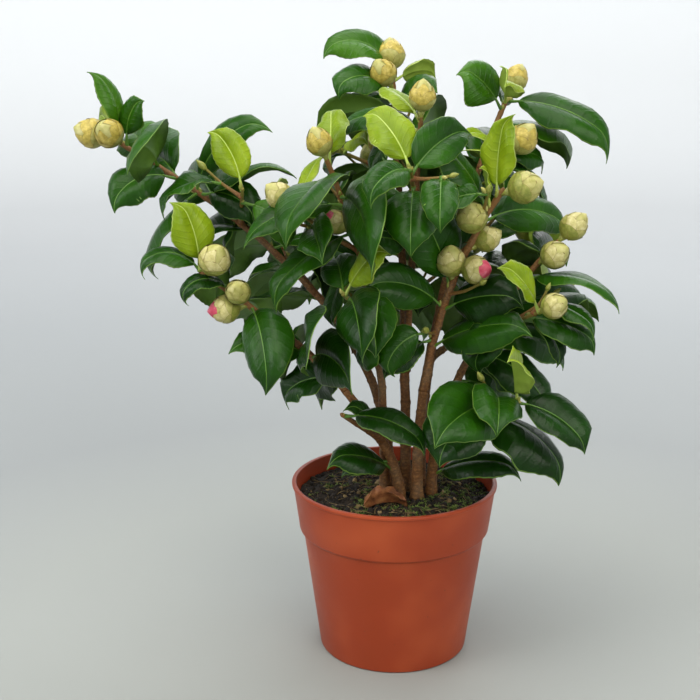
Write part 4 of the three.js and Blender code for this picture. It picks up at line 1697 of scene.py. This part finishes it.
@dataclass
class LeafMaker:
    """Camellia leaves as closed thin blades with a sunken rib, quilted face and toothed margin."""

    rows: int = 24
    fine_rows: int = 16
    thick: float = 0.5
    rib: float = 0.4
    margin: float = 0.34
    tooth: float = 0.15
    quilt: float = 0.08
    veins: float = 7.5
    vein_lean: float = 0.24
    inner: Span = (0.3, 0.68)
    twist: float = 45
    sway: float = 0.09
    given_calm: float = 0.2
    hook: float = 0.08
    hook_more: Span = (-0.02, 0.1)
    keel: float = 0.45
    groove: float = 0.4

    def add_blade(
        self, skin: Skin, leaf: Leaf, tone: LeafTone, draw: Generator, crumple: float = 0.0
    ) -> None:
        """Adds one blade as a ring of points carried along the midrib.

        Across the face the height is half the width times (fold s - curl s cubed), plus a quilt
        between the veins, a wave that grows to the margin and a groove along the rib. The back
        lies one thickness under it. Rows stand closer near both ends: u less 0.05 sin 2 pi u.

        Args:
            skin: What the blade is added to.
            leaf: Its place and size.
            tone: Its finishes.
            draw: What varies its waves, twist and fold.
            crumple: How much it is withered, from 0 to 1.
        """
        rows = self.fine_rows if leaf.fine else self.rows
        u = np.linspace(0, 1, rows)
        t = u - 0.05 * np.sin(2 * math.pi * u)
        calm = self.given_calm if leaf.given else 1.0
        twist = calm * draw.uniform(-self.twist, self.twist)
        sway = calm * draw.uniform(-self.sway, self.sway)
        middle, side, normal = leaf.frame(t, twist, sway, self.hook + draw.uniform(*self.hook_more))
        half = leaf.half_width(t) * (1 - 0.3 * np.clip((t - 0.8) / 0.16, 0, 1))
        toothed = self.tooth * np.where(np.arange(rows) % 2, 1, -1) * ((t > 0.1) & (t < 0.94))
        half = half + toothed * np.minimum(1, half / 6)
        rib = np.minimum(self.rib * (1.05 - 0.6 * t), 0.4 * half)
        edge = np.minimum(self.margin, 0.22 * half)
        reach = half - edge - rib
        right = [rib] + [rib + reach * share for share in self.inner] + [half - edge, half]
        face = np.stack([-x for x in right[::-1]] + [0 * half] + right, -1)
        under = np.stack([0.62 * half, rib, 0 * half, -rib, -0.62 * half], -1)
        spread = (0.8, 1.3) if leaf.given else (0.4, 1.9)
        fold = (1.5 if leaf.young else 1.0) * leaf.fold * draw.uniform(*spread) + 0.5 * crumple
        curl = leaf.curl * draw.uniform(0.8, 1.5)
        waves = [draw.uniform(*span) for span in ((0.8, 2.5), (1.0, 2.4), (0, 6.3), (0, 6.3))]
        top = self.height(face, half, t, fold, curl, waves, crumple)
        low = self.height(under, half, t, fold, curl, waves, crumple)
        share = np.abs(under / half[:, None])
        keel = self.keel * np.exp(-((under / 0.8) ** 2)) * (1 - t)[:, None]
        low = low - self.thick * (1 - share**4) - keel
        x = np.concatenate([face, under], 1)
        h = np.concatenate([top, low], 1)
        grid = middle[:, None] + side[:, None] * x[..., None] + normal[:, None] * h[..., None]
        front, back, ribbed, edged = tone.value
        slots = np.array([edged] + [front] * 3 + [ribbed] * 2 + [front] * 3 + [edged] + [back] * 6)
        across = x / half[:, None]
        places = np.stack([across, np.repeat(t[:, None], x.shape[1], 1)], -1)
        places = np.concatenate([places, places[:, :1]], 1)
        turned = slots[::-1][1:].tolist() + [int(slots[-1])]
        skin.add(grid[:, ::-1], slot=turned, uv=places[:, ::-1], ring=True, capped=True)

    def height(
        self, x: Array, half: Array, t: Array, fold: float, curl: float, waves: list[float], crumple: float
    ) -> Array:
        """The face's height in millimetres, as in add_blade.

        Args:
            x: Distances from the midrib, rows by points.
            half: Half the blade's width in each row.
            t: The share of the length in each row.
            fold: How steeply the halves rise from the rib.
            curl: How much their margins turn down again.
            waves: The margin's wave: its height, its rate and where it starts on each half.
            crumple: How much the leaf is withered.

        Returns:
            One height for each distance.
        """
        wide = half[:, None]
        s = np.abs(x / wide)
        along = t[:, None]
        wave, rate, left, right = waves
        body = wide * (fold * s - curl * s**3)
        phase = self.veins * (along * 1.05 - self.vein_lean * s)
        bulge = self.quilt * (1 - np.abs(2 * (phase % 1) - 1) ** 2) * (1 - s**3) * np.minimum(1, wide / 8)
        start = np.where(x < 0, left, right)
        swing = np.sin(2 * math.pi * rate * along + start)
        margin = wave * swing * s**2.2 * np.minimum(1, wide / 10)
        groove = -self.groove * np.exp(-((x / 0.75) ** 2)) * (1 - along)
        wither = crumple * (1.2 * np.sin(9 * along + 4 * s + left) + 0.7 * np.sin(23 * along - 6 * s)) * s
        return body + bulge + margin + groove + wither

    def add_stalk(self, skin: Skin, leaf: Leaf, slot: int) -> None:
        """Adds the stalk: a tube from the twig's middle to the blade, thick at its foot.

        Args:
            skin: What it is added to.
            leaf: The leaf that it bears.
            slot: Its finish.
        """
        t = np.linspace(0, 1, 6)
        way = heading_of(leaf.turn, leaf.rise)
        end = leaf.frame(np.array([0.04]))[0][0]
        bow = (end - leaf.root) @ way / 2 * way + leaf.root - np.array([0, 0, 0.7])
        u = t[:, None]
        course = (1 - u) ** 2 * leaf.root + 2 * u * (1 - u) * bow + u**2 * end
        radius = 1.05 - 0.4 * t + 0.35 * (1 - t) ** 3
        skin.add(carry(course, radius, 7), slot=slot, ring=True, capped=True)


@dataclass
class Foliage:
    """All the leaves, dealt their tones by spray, in a front and a back piece."""

    seed: int = 21
    front: tuple[str, ...] = ("front", "right", "left", "mid_left", "middle", "low_front", "low_right")
    # Partly painted shade and light: leaves below this height lean to the deep tone, those above it to the
    # fresh one.
    dark_below: float = 130
    depth: float = 240
    scatter: float = 0.35
    deep_share: float = 0.25
    mid_share: float = 0.85

    def tone(self, leaf: Leaf, draw: Generator) -> LeafTone:
        """Young tips are lime. The rest are deep low down and fresher towards the top.

        Args:
            leaf: The leaf.
            draw: What every draw comes from.

        Returns:
            Its tone.
        """
        if leaf.young:
            return LeafTone.YOUNG
        # Partly painted shade low in the crown and painted light at its top, besides the leaves' own spread
        # of tones.
        height = (leaf.base[2] - self.dark_below) / self.depth
        fresh = height + draw.uniform(-self.scatter, self.scatter)
        if fresh < self.deep_share:
            return LeafTone.DEEP
        return LeafTone.MID if fresh < self.mid_share else LeafTone.FRESH

    def build(self, growth: Growth, finishes: list[Material]) -> None:
        """Makes the two pieces of leaves.

        Args:
            growth: The plant.
            finishes: The finishes, as LeafTone counts them.
        """
        maker = LeafMaker()
        for name, wanted in (("leaves_front", True), ("leaves_back", False)):
            draw = np.random.default_rng(self.seed + wanted)
            skin = Skin(finishes)
            masses = [limb.name for limb in growth.limbs if (limb.name in self.front) == wanted]
            for leaf in growth.leaves:
                if leaf.mass in masses:
                    tone = self.tone(leaf, draw)
                    maker.add_blade(skin, leaf, tone, draw)
                    maker.add_stalk(skin, leaf, tone.value[2])
            skin.piece(name, ["foliage_" + mass for mass in masses], "foliage")


@dataclass
class Wood:
    """Stems, boughs and twigs with bark relief, leaf scars and a slight zigzag at the nodes."""

    sides: int = 20
    step: float = 1.6
    node_gap: float = 13.0
    knee: float = 0.55
    scar: float = 0.34
    ridge: float = 0.2
    ridge_counts: tuple[int, ...] = (3, 5, 8)
    foot_swell: float = 1.3
    twig_swell: float = 0.9

    def relief(self, course: Array, radius: Array, seed: int, sides: int) -> Array:
        """What the bark adds to the radius: long ridges and a swelling with a scar at each node.

        Args:
            course: The limb's points.
            radius: Its radius at each.
            seed: What fixes its ridges and nodes.
            sides: The points in a ring.

        Returns:
            Millimetres to add, rows by sides.
        """
        along = run_along(course)[:, None]
        angle = round_angles(sides)[None]
        draw = np.random.default_rng(seed)
        ridges = sum(
            np.sin(count * angle + draw.uniform(0, 6.3) + 0.9 * np.sin(along / draw.uniform(6, 17) + count))
            for count in self.ridge_counts
        )
        scar_at = (along + draw.uniform(0, self.node_gap)) % self.node_gap
        ring = np.exp(-(((scar_at - 0.9) / 1.1) ** 2))
        groove = np.exp(-(((scar_at - 2.6) / 0.5) ** 2))
        swell = self.scar * ring - 0.4 * self.scar * groove
        size = np.clip(radius / 3, 0.25, 1)[:, None]
        return (self.ridge * ridges / 2 + swell * 1.2) * size

    def kinked(self, course: Array, seed: int) -> Array:
        """The course leaning to and fro at its nodes, still at both ends.

        Args:
            course: The limb's points.
            seed: What fixes the side that it leans to.

        Returns:
            The points, moved.
        """
        along = run_along(course)
        draw = np.random.default_rng(seed + 50)
        way = unit(np.cross(course[-1] - course[0], draw.normal(size=3)))
        saw = np.abs((along / self.node_gap) % 2 - 1) - 0.5
        fade = np.sin(math.pi * np.clip(along / along[-1], 0, 1)) ** 0.5
        return course + np.outer(self.knee * saw * fade, way)

    def build(self, growth: Growth, bark: Material, shoot: Material) -> None:
        """Makes the limbs' bare lengths and, apart, the leafy ends and side twigs.

        Args:
            growth: The plant.
            bark: The finish of stems and boughs.
            shoot: That of leafy ends and twigs.
        """
        limbs, twigs = Skin([bark, shoot]), Skin([shoot, bark])
        for limb in growth.limbs:
            whole = float(np.linalg.norm(limb.end - limb.start))
            rows = max(20, int(whole / self.step))
            split = int(rows * limb.part)
            share = np.linspace(0, 1, rows)
            course = self.kinked(limb.point(share), limb.seed)
            radius = limb.width(share)
            if limb.parent:
                radius = radius + self.foot_swell * np.exp(-share * whole / 3.2)
            radius[-1] *= 0.6
            bark_relief = self.relief(course, radius, limb.seed, self.sides)
            rings = carry(course, radius, self.sides, bark_relief)
            if not limb.parent:
                rings[0, :, 2] = limb.start[2] - 1.0
            places = tube_map(course, self.sides)
            ages = np.repeat(share[:, None], self.sides, 1)
            for skin, slot, part in ((limbs, 0, slice(split + 1)), (twigs, 1, slice(split, None))):
                skin.add(rings[part], slot, places[part], ages[part], ring=True, capped=True)
        for axis in growth.axes:
            if not axis.limb:
                self.add_twig(twigs, axis)
        names = [("bough_" if limb.parent else "stem_") + limb.name for limb in growth.limbs]
        limbs.piece("stems_and_boughs", names, "bark")
        twigs.piece("twigs", ["foliage_" + limb.name for limb in growth.limbs], "bark")

    def add_twig(self, skin: Skin, axis: Axis) -> None:
        """Adds a side twig, swollen where it leaves its limb.

        Args:
            skin: What it is added to.
            axis: Its course and radius.
        """
        rows, sides = (16, 10) if axis.fine else (30, 16)
        share = np.linspace(0, 1, rows)
        course = self.kinked(axis.point(share), axis.seed)
        foot, tip = axis.radius
        radius = foot + (tip - foot) * share + self.twig_swell * np.exp(-share * axis.length / 2.5)
        rings = carry(course, radius, sides, self.relief(course, radius, axis.seed, sides) * 0.7)
        ages = np.repeat((0.7 + 0.3 * share)[:, None], sides, 1)
        skin.add(rings, 0, tube_map(course, sides), ages, ring=True, capped=True)


class BudTone(Enum):
    """The finishes of a bud's outer, middle and inner scales."""

    GREEN = (0, 0, 1)
    CREAM = (0, 1, 5)
    YELLOW = (1, 6, 6)


@dataclass
class Buds:
    """Closed flower buds: overlapping rounded scales on a pointed egg, and small leaf buds."""

    scales: int = 16
    lift: float = 0.045
    seed: int = 40
    core_slots: Span = (2, 3)
    rim_slot: int = 4
    yellow_above: float = 285
    scale_rows: tuple[float, ...] = (0, 0.2, 0.4, 0.58, 0.73, 0.85, 0.935, 0.975, 0.995)
    scale_columns: tuple[float, ...] = (-1, -0.96, -0.68, -0.34, 0, 0.34, 0.68, 0.96, 1)

    def egg(self, along: Array) -> Array:
        """The egg's radius as a share of its widest: the sine of pi u to 0.86, to the power 0.66."""
        return np.maximum(0.02, np.sin(math.pi * np.clip(along, 0, 1) ** 0.86)) ** 0.66

    def place(self, bud: Bud, along: Array, turn: Array, out: Array) -> Array:
        """Points on a bud at shares along it, turns about it and distances out from the egg.

        Args:
            bud: The bud.
            along: Shares of its length.
            turn: Turns about it in radians.
            out: Millimetres out from the egg.

        Returns:
            A point for each.
        """
        across = unit(np.cross(ASIDE, bud.course))
        over = np.cross(bud.course, across)
        radius = (bud.radius * self.egg(along) + out)[..., None]
        spin = np.cos(turn)[..., None] * across + np.sin(turn)[..., None] * over
        return bud.base + bud.course * (bud.length * along)[..., None] + radius * spin

    def add_bud(self, skin: Skin, bud: Bud, tone: BudTone, draw: Generator) -> None:
        """Adds the core and its scales, the inner ones longer and closer in.

        Args:
            skin: What the bud is added to.
            bud: Its place and size.
            tone: Its scales' finishes.
            draw: What varies the scales.
        """
        along, turn = np.meshgrid(np.linspace(0.01, 0.999, 14), round_angles(16), indexing="ij")
        core = self.place(bud, along, turn, np.full(along.shape, -0.25))
        green, pink = self.core_slots
        rows = np.where(np.linspace(0, 1, 13) > 0.8, pink if bud.pink else green, green)
        skin.add(core, slot=rows[:, None], ring=True, capped=True)
        first = draw.uniform(0, 6.3)
        b, a = np.array(self.scale_rows)[:, None], np.array(self.scale_columns)[None]
        for scale in range(self.scales):
            inner = scale / (self.scales - 1)
            top = (0.3 + (0.62 if bud.pink else 0.69) * inner**0.85) * draw.uniform(0.96, 1.0)
            wide = (1.2 - 0.3 * inner) * np.sqrt(1 - b**2.4)
            angle = first + scale * math.radians(SPIRAL) + a * wide
            out = self.lift * (self.scales - scale) + 0.07 * np.abs(a) ** 4 + 0.1 * b**6
            along = np.broadcast_to(top * b, angle.shape)
            slots = np.full((8, 8), tone.value[min(2, int(3.4 * inner))])
            slots[:, [0, -1]] = slots[-1] = self.rim_slot
            skin.add(self.place(bud, along, angle, np.broadcast_to(out, angle.shape)), slot=slots)
        stalk = np.stack([bud.root, (bud.root + bud.base) / 2, bud.base + bud.course * 0.6])
        rings = carry(stalk, np.array([1.25, 1.2, bud.radius * 0.34]), 10)
        skin.add(rings, slot=0, ring=True, capped=True)

    def add_leaf_bud(self, skin: Skin, foot: Array, way: Array, long: float, slot: int) -> None:
        """Adds a pointed leaf bud: a spindle of five rings that ends in a fine tip.

        Args:
            skin: What it is added to.
            foot: Where it sits.
            way: Where it points.
            long: Its length in millimetres.
            slot: Its finish.
        """
        course = foot + np.outer(np.array([-0.1, 0.18, 0.42, 0.74, 1.0]) * long, way)
        radius = 0.3 * long * np.array([0.5, 0.95, 1.0, 0.6, 0.1])
        skin.add(carry(course, radius, 7), slot=slot, ring=True, capped=True)

    def build(self, growth: Growth, finishes: list[Material]) -> None:
        """Makes all flower buds as one piece, yellower near the top of the crown.

        Args:
            growth: The plant.
            finishes: The finishes, as BudTone and the slots count them.
        """
        draw = np.random.default_rng(self.seed)
        skin = Skin(finishes)
        for place, bud in enumerate(growth.buds):
            low = BudTone.CREAM if place % 4 else BudTone.GREEN
            self.add_bud(skin, bud, BudTone.YELLOW if bud.base[2] > self.yellow_above else low, draw)
        nodes = ["foliage_" + limb.name for limb in growth.limbs]
        skin.piece("flower_buds", nodes, "foliage")
        small = Skin(finishes[:2])
        for axis in growth.axes[len(growth.limbs) :]:
            if axis.fine:
                self.add_leaf_bud(small, axis.point(1.0), axis.course(1.0), draw.uniform(4.5, 7), 0)
        for leaf in growth.leaves:
            course = leaf.axis.course(leaf.at)
            way = unit(course + 0.8 * heading_of(leaf.turn, leaf.rise))
            out = 0.9 * leaf.axis.radius[0] * unit(np.cross(course, [0.2, 0.1, 1.0]))
            foot = leaf.root + 0.5 * out + 0.8 * way
            self.add_leaf_bud(small, foot, way, draw.uniform(2.6, 4.6), int(draw.integers(0, 2)))
        small.piece("leaf_buds", nodes, "foliage")


@dataclass
class Studio:
    """A pale floor that rises into a wall all round, soft lights, and the camera."""

    camera_at: Place = (-0.0075, -0.6622, 0.3496)
    aim: Place = (-0.026, 0.0, 0.180)
    lens: float = 61.5
    floor_reach: float = 1.5
    rise: float = 0.6
    wall: float = 2.6
    floor_points: int = 96
    air: str = "#ECEDEF"
    air_strength: float = 0.28
    # Painted light and shade: the ground's colour by distance from the plant, dark near it and pale up the
    # wall.
    painted_light_stops: tuple[tuple[float, str], ...] = (
        (0.1, "#989C99"),
        (0.18, "#909495"),
        (0.38, "#9EA2A4"),
        (0.72, "#BCBFC1"),
        (0.89, "#E4E7E9"),
    )
    painted_light_reach: float = 2.4

    def build(self) -> None:
        """Makes the floor, the lights and the camera."""
        bpy.context.scene.view_settings.view_transform = "Standard"
        self.build_floor()
        self.add_lights()
        world = bpy.data.worlds.new("studio")
        bpy.context.scene.world = world
        world.use_nodes = True
        sky = world.node_tree.nodes["Background"].inputs
        sky[0].default_value, sky[1].default_value = linear(self.air), self.air_strength
        self.add_camera()

    def add_lights(self) -> None:
        """Adds square softboxes: name, place, width in metres, watts, colour and what each faces."""
        plant = (0.0, 0.0, 0.2)
        for name, place, size, power, colour, target in (
            ("softbox_above", (-0.25, -0.5, 1.55), 1.4, 20.0, "#FFFBF2", plant),
            ("softbox_front", (0.75, -1.35, 0.9), 1.0, 11.0, "#FFFAF0", plant),
            ("softbox_left", (-1.3, -0.55, 0.9), 0.8, 8.0, "#FDFDFF", plant),
            ("softbox_back", (0.5, 1.2, 1.2), 1.0, 7.0, "#FFFFFF", plant),
            ("wash_on_wall", (0.0, 0.7, 2.1), 1.2, 24.0, "#FDFDFF", (0.0, 2.1, 0.7)),
        ):
            light = bpy.data.lights.new(name, "AREA")
            light.size, light.energy, light.color = size, power, linear(colour)[:3]
            lamp = put(name, light)
            lamp.location, lamp.rotation_euler = place, self.facing(place, target)

    def build_floor(self) -> None:
        """A flat disc that bends up on a quarter circle into an upright wall.

        Its tone follows the distance from the plant: painted shade greys the floor round and behind the
        plant, and painted light pales the wall upwards.
        """
        bend = np.linspace(0, math.pi / 2, 16)
        curve = self.floor_reach + self.rise * np.sin(bend)
        radius = np.concatenate([[0.001, 0.3, 0.8], curve, [self.floor_reach + self.rise]])
        climb = self.rise * (1 - np.cos(bend))
        height = np.concatenate([[0, 0, 0], climb, [self.wall]]) - 0.0002
        grid = spun(radius, height, self.floor_points)
        faces = faces_of(len(radius), self.floor_points, self.floor_points)[:, ::-1].tolist()
        mesh = bpy.data.meshes.new("floor")
        mesh.from_pydata(grid.reshape(-1, 3).tolist(), [], faces + [list(range(self.floor_points))])
        mesh.shade_smooth()
        # Matt ground with painted light and shade: darker grey round the plant as painted shade, paler behind
        # it and up the wall as painted light.
        material, tree, shader = new_material("ground_painted_light_and_shade", Roughness=0.7)
        place = add_node(tree, "TexCoord", out="Object")
        away = add_node(tree, "VectorMath", {"operation": "LENGTH"}, "Value", i0=place)
        share = add_node(tree, "MapRange", {1: 0.0, 2: self.painted_light_reach}, i0=away)
        feed(shader, Base_Color=add_node(tree, "ValToRGB", {"stops": self.painted_light_stops}, i0=share))
        mesh.materials.append(material)
        put("floor", mesh)

    def facing(self, place: Place, target: Place) -> Place:
        """The turn, without roll, that looks from a place to a target."""
        x, y, z = (b - a for a, b in zip(place, target))
        return math.pi / 2 + math.atan2(z, math.hypot(x, y)), 0.0, math.atan2(-x, y)

    def add_camera(self) -> None:
        """Adds the camera where the photo was taken from, close on the plant."""
        lens = bpy.data.cameras.new("camera")
        lens.lens, lens.sensor_width = self.lens, 36.0
        camera = put("camera", lens)
        camera.location = self.camera_at
        camera.rotation_euler = self.facing(self.camera_at, self.aim)
        bpy.context.scene.camera = camera


def leaf_finishes() -> list[Material]:
    """The finishes of leaves, in the order that LeafTone counts them.

    Returns:
        Faces from deep to young, both backs, the rib, the margin and the young rib.
    """
    blades = [
        # Old leaves, dealt low in the crown partly as painted shade: a waxed cuticle over deep green gives
        # near-black shade and broad soft glints.
        Blade("leaf_deep", ("#0C2802", "#123304", "#194106")),
        # Leaves of the year: the same wax over a middle green, so that the crown isn't of one tone.
        Blade("leaf_mid", ("#163A04", "#1F4906", "#2B580A")),
        # Upper leaves, dealt high in the crown partly as painted light: yellower and fresher.
        Blade("leaf_fresh", ("#264F07", "#33610A", "#437213")),
        # Soft young tips: lime, duller, and lit from within by thin flesh.
        Blade("leaf_young", ("#667F0E", "#7A9312", "#93A920"), 0.36, 0.12, 0.1),
    ]
    rows = [
        # The unwaxed backs give a pale matt green where a leaf shows its underside.
        ("leaf_back", ("#42661E", "#527728", "#648835"), 20.0, 0.5),
        ("leaf_back_young", ("#84A036", "#97B244", "#A9C25A"), 20.0, 0.5),
        # The midrib and stalk draw a light line down the leaf.
        ("leaf_rib", ("#3F6716", "#4D771D", "#5E8628"), 10.0, 0.42),
        # The horny margin gives the leaf its thin pale outline.
        ("leaf_margin", ("#4C6F1E", "#62862C", "#7A9A40"), 12.0, 0.45),
        ("leaf_rib_young", ("#98B046", "#A9BE56", "#BACC70"), 10.0, 0.42),
    ]
    return [one.build() for one in blades + [Mottled(*row) for row in rows]]


def bud_finishes() -> list[Material]:
    """The finishes of flower buds, in the order that BudTone and Buds count them.

    Returns:
        Green and pale scales, the core, pink petals, the scales' rim, cream and yellow scales.
    """
    # Bud scales are downy and a little translucent: grain 2.2 mm, a fine relief, a faint sheen.
    scale = (2.2, 0.46, 0.12, 0.06, 0.06)
    rows = [
        # Outer scales: dull green, the darkest of the bud.
        ("bud_scale_green", ("#7A8330", "#8F9440", "#A5A552"), *scale),
        # Middle scales: pale yellow green, what the eye takes for the bud's colour.
        ("bud_scale_pale", ("#989748", "#AEAA5C", "#C0BA72"), *scale),
        # The core shows only in chinks between the scales.
        ("bud_core", ("#A0A052", "#B6B268", "#CBC488"), 5.0, 0.5),
        # Petals that start to show: the pink point of three buds.
        ("petal_pink", ("#B8314C", "#CE4E66", "#DE7F93"), 4.0, 0.5),
        # The dry rim draws each scale's brown edge.
        ("bud_scale_rim", ("#6A5A28", "#8A7A3C", "#B0A264"), 3.0, 0.55),
        # Inner scales: cream, and yellow on the buds at the top of the crown.
        ("bud_scale_cream", ("#B4AC66", "#C8C07E", "#D9D29B"), *scale),
        ("bud_scale_yellow", ("#A08E34", "#BCA94A", "#D6C366"), *scale),
    ]
    return [Mottled(*row).build() for row in rows]


def main() -> None:
    """Builds the studio, the plant and its pot, in order."""
    logging.basicConfig(level=logging.INFO, format="%(message)s")
    Studio().build()
    growth = Growth()
    twigs = len(growth.axes) - len(growth.limbs)
    LOG.info("%d leaves, %d buds, %d side twigs", len(growth.leaves), len(growth.buds), twigs)
    # Moulded polypropylene: the even terracotta colour and soft gloss of a nursery pot.
    Pot().build(MouldedPlastic().build())
    # Sphagnum peat: near black when moist, crumbly to 2 mm, with pale stems in it.
    peat = Mottled("sphagnum_peat", ("#0E0905", "#1F170E", "#352819"), 3.0, 0.92, 0.5).build()
    # Cushion moss: dull and pale green tufts that break up the dark peat.
    moss = [
        Mottled("cushion_moss_deep", ("#2C3A12", "#475A20", "#63782F"), 4.0, 0.8).build(),
        Mottled("cushion_moss_pale", ("#4A5C24", "#6C8038", "#8EA355"), 4.0, 0.8).build(),
    ]
    # A dead leaf: dry and matt, cinnamon brown with paler patches.
    dead = Mottled("withered_leaf", ("#5A3216", "#8C5530", "#B07A48"), 5.0, 0.6, 0.25).build()
    # Fibres and pale crumbs of peat: straw brown against the black.
    fibre = Mottled("peat_fibre", ("#4A3A22", "#7A6540", "#A08C62"), 6.0, 0.85).build()
    RootBall().build(peat, fibre, moss, dead)
    # Young bark: cinnamon brown, with darker and paler flecks and a greyish bloom.
    bark = Bark("camellia_bark", "#3C220D", "#74491F", "#A5763F", "#80592A").build()
    # Shoots of the last two years: a warmer brown that turns olive towards the tip.
    shoot = Bark("camellia_shoot", "#542D12", "#875024", "#B0773C", "#7C762C").build()
    Wood().build(growth, bark, shoot)
    Foliage().build(growth, leaf_finishes())
    Buds().build(growth, bud_finishes())
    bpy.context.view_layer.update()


if __name__ == "__main__":
    main()
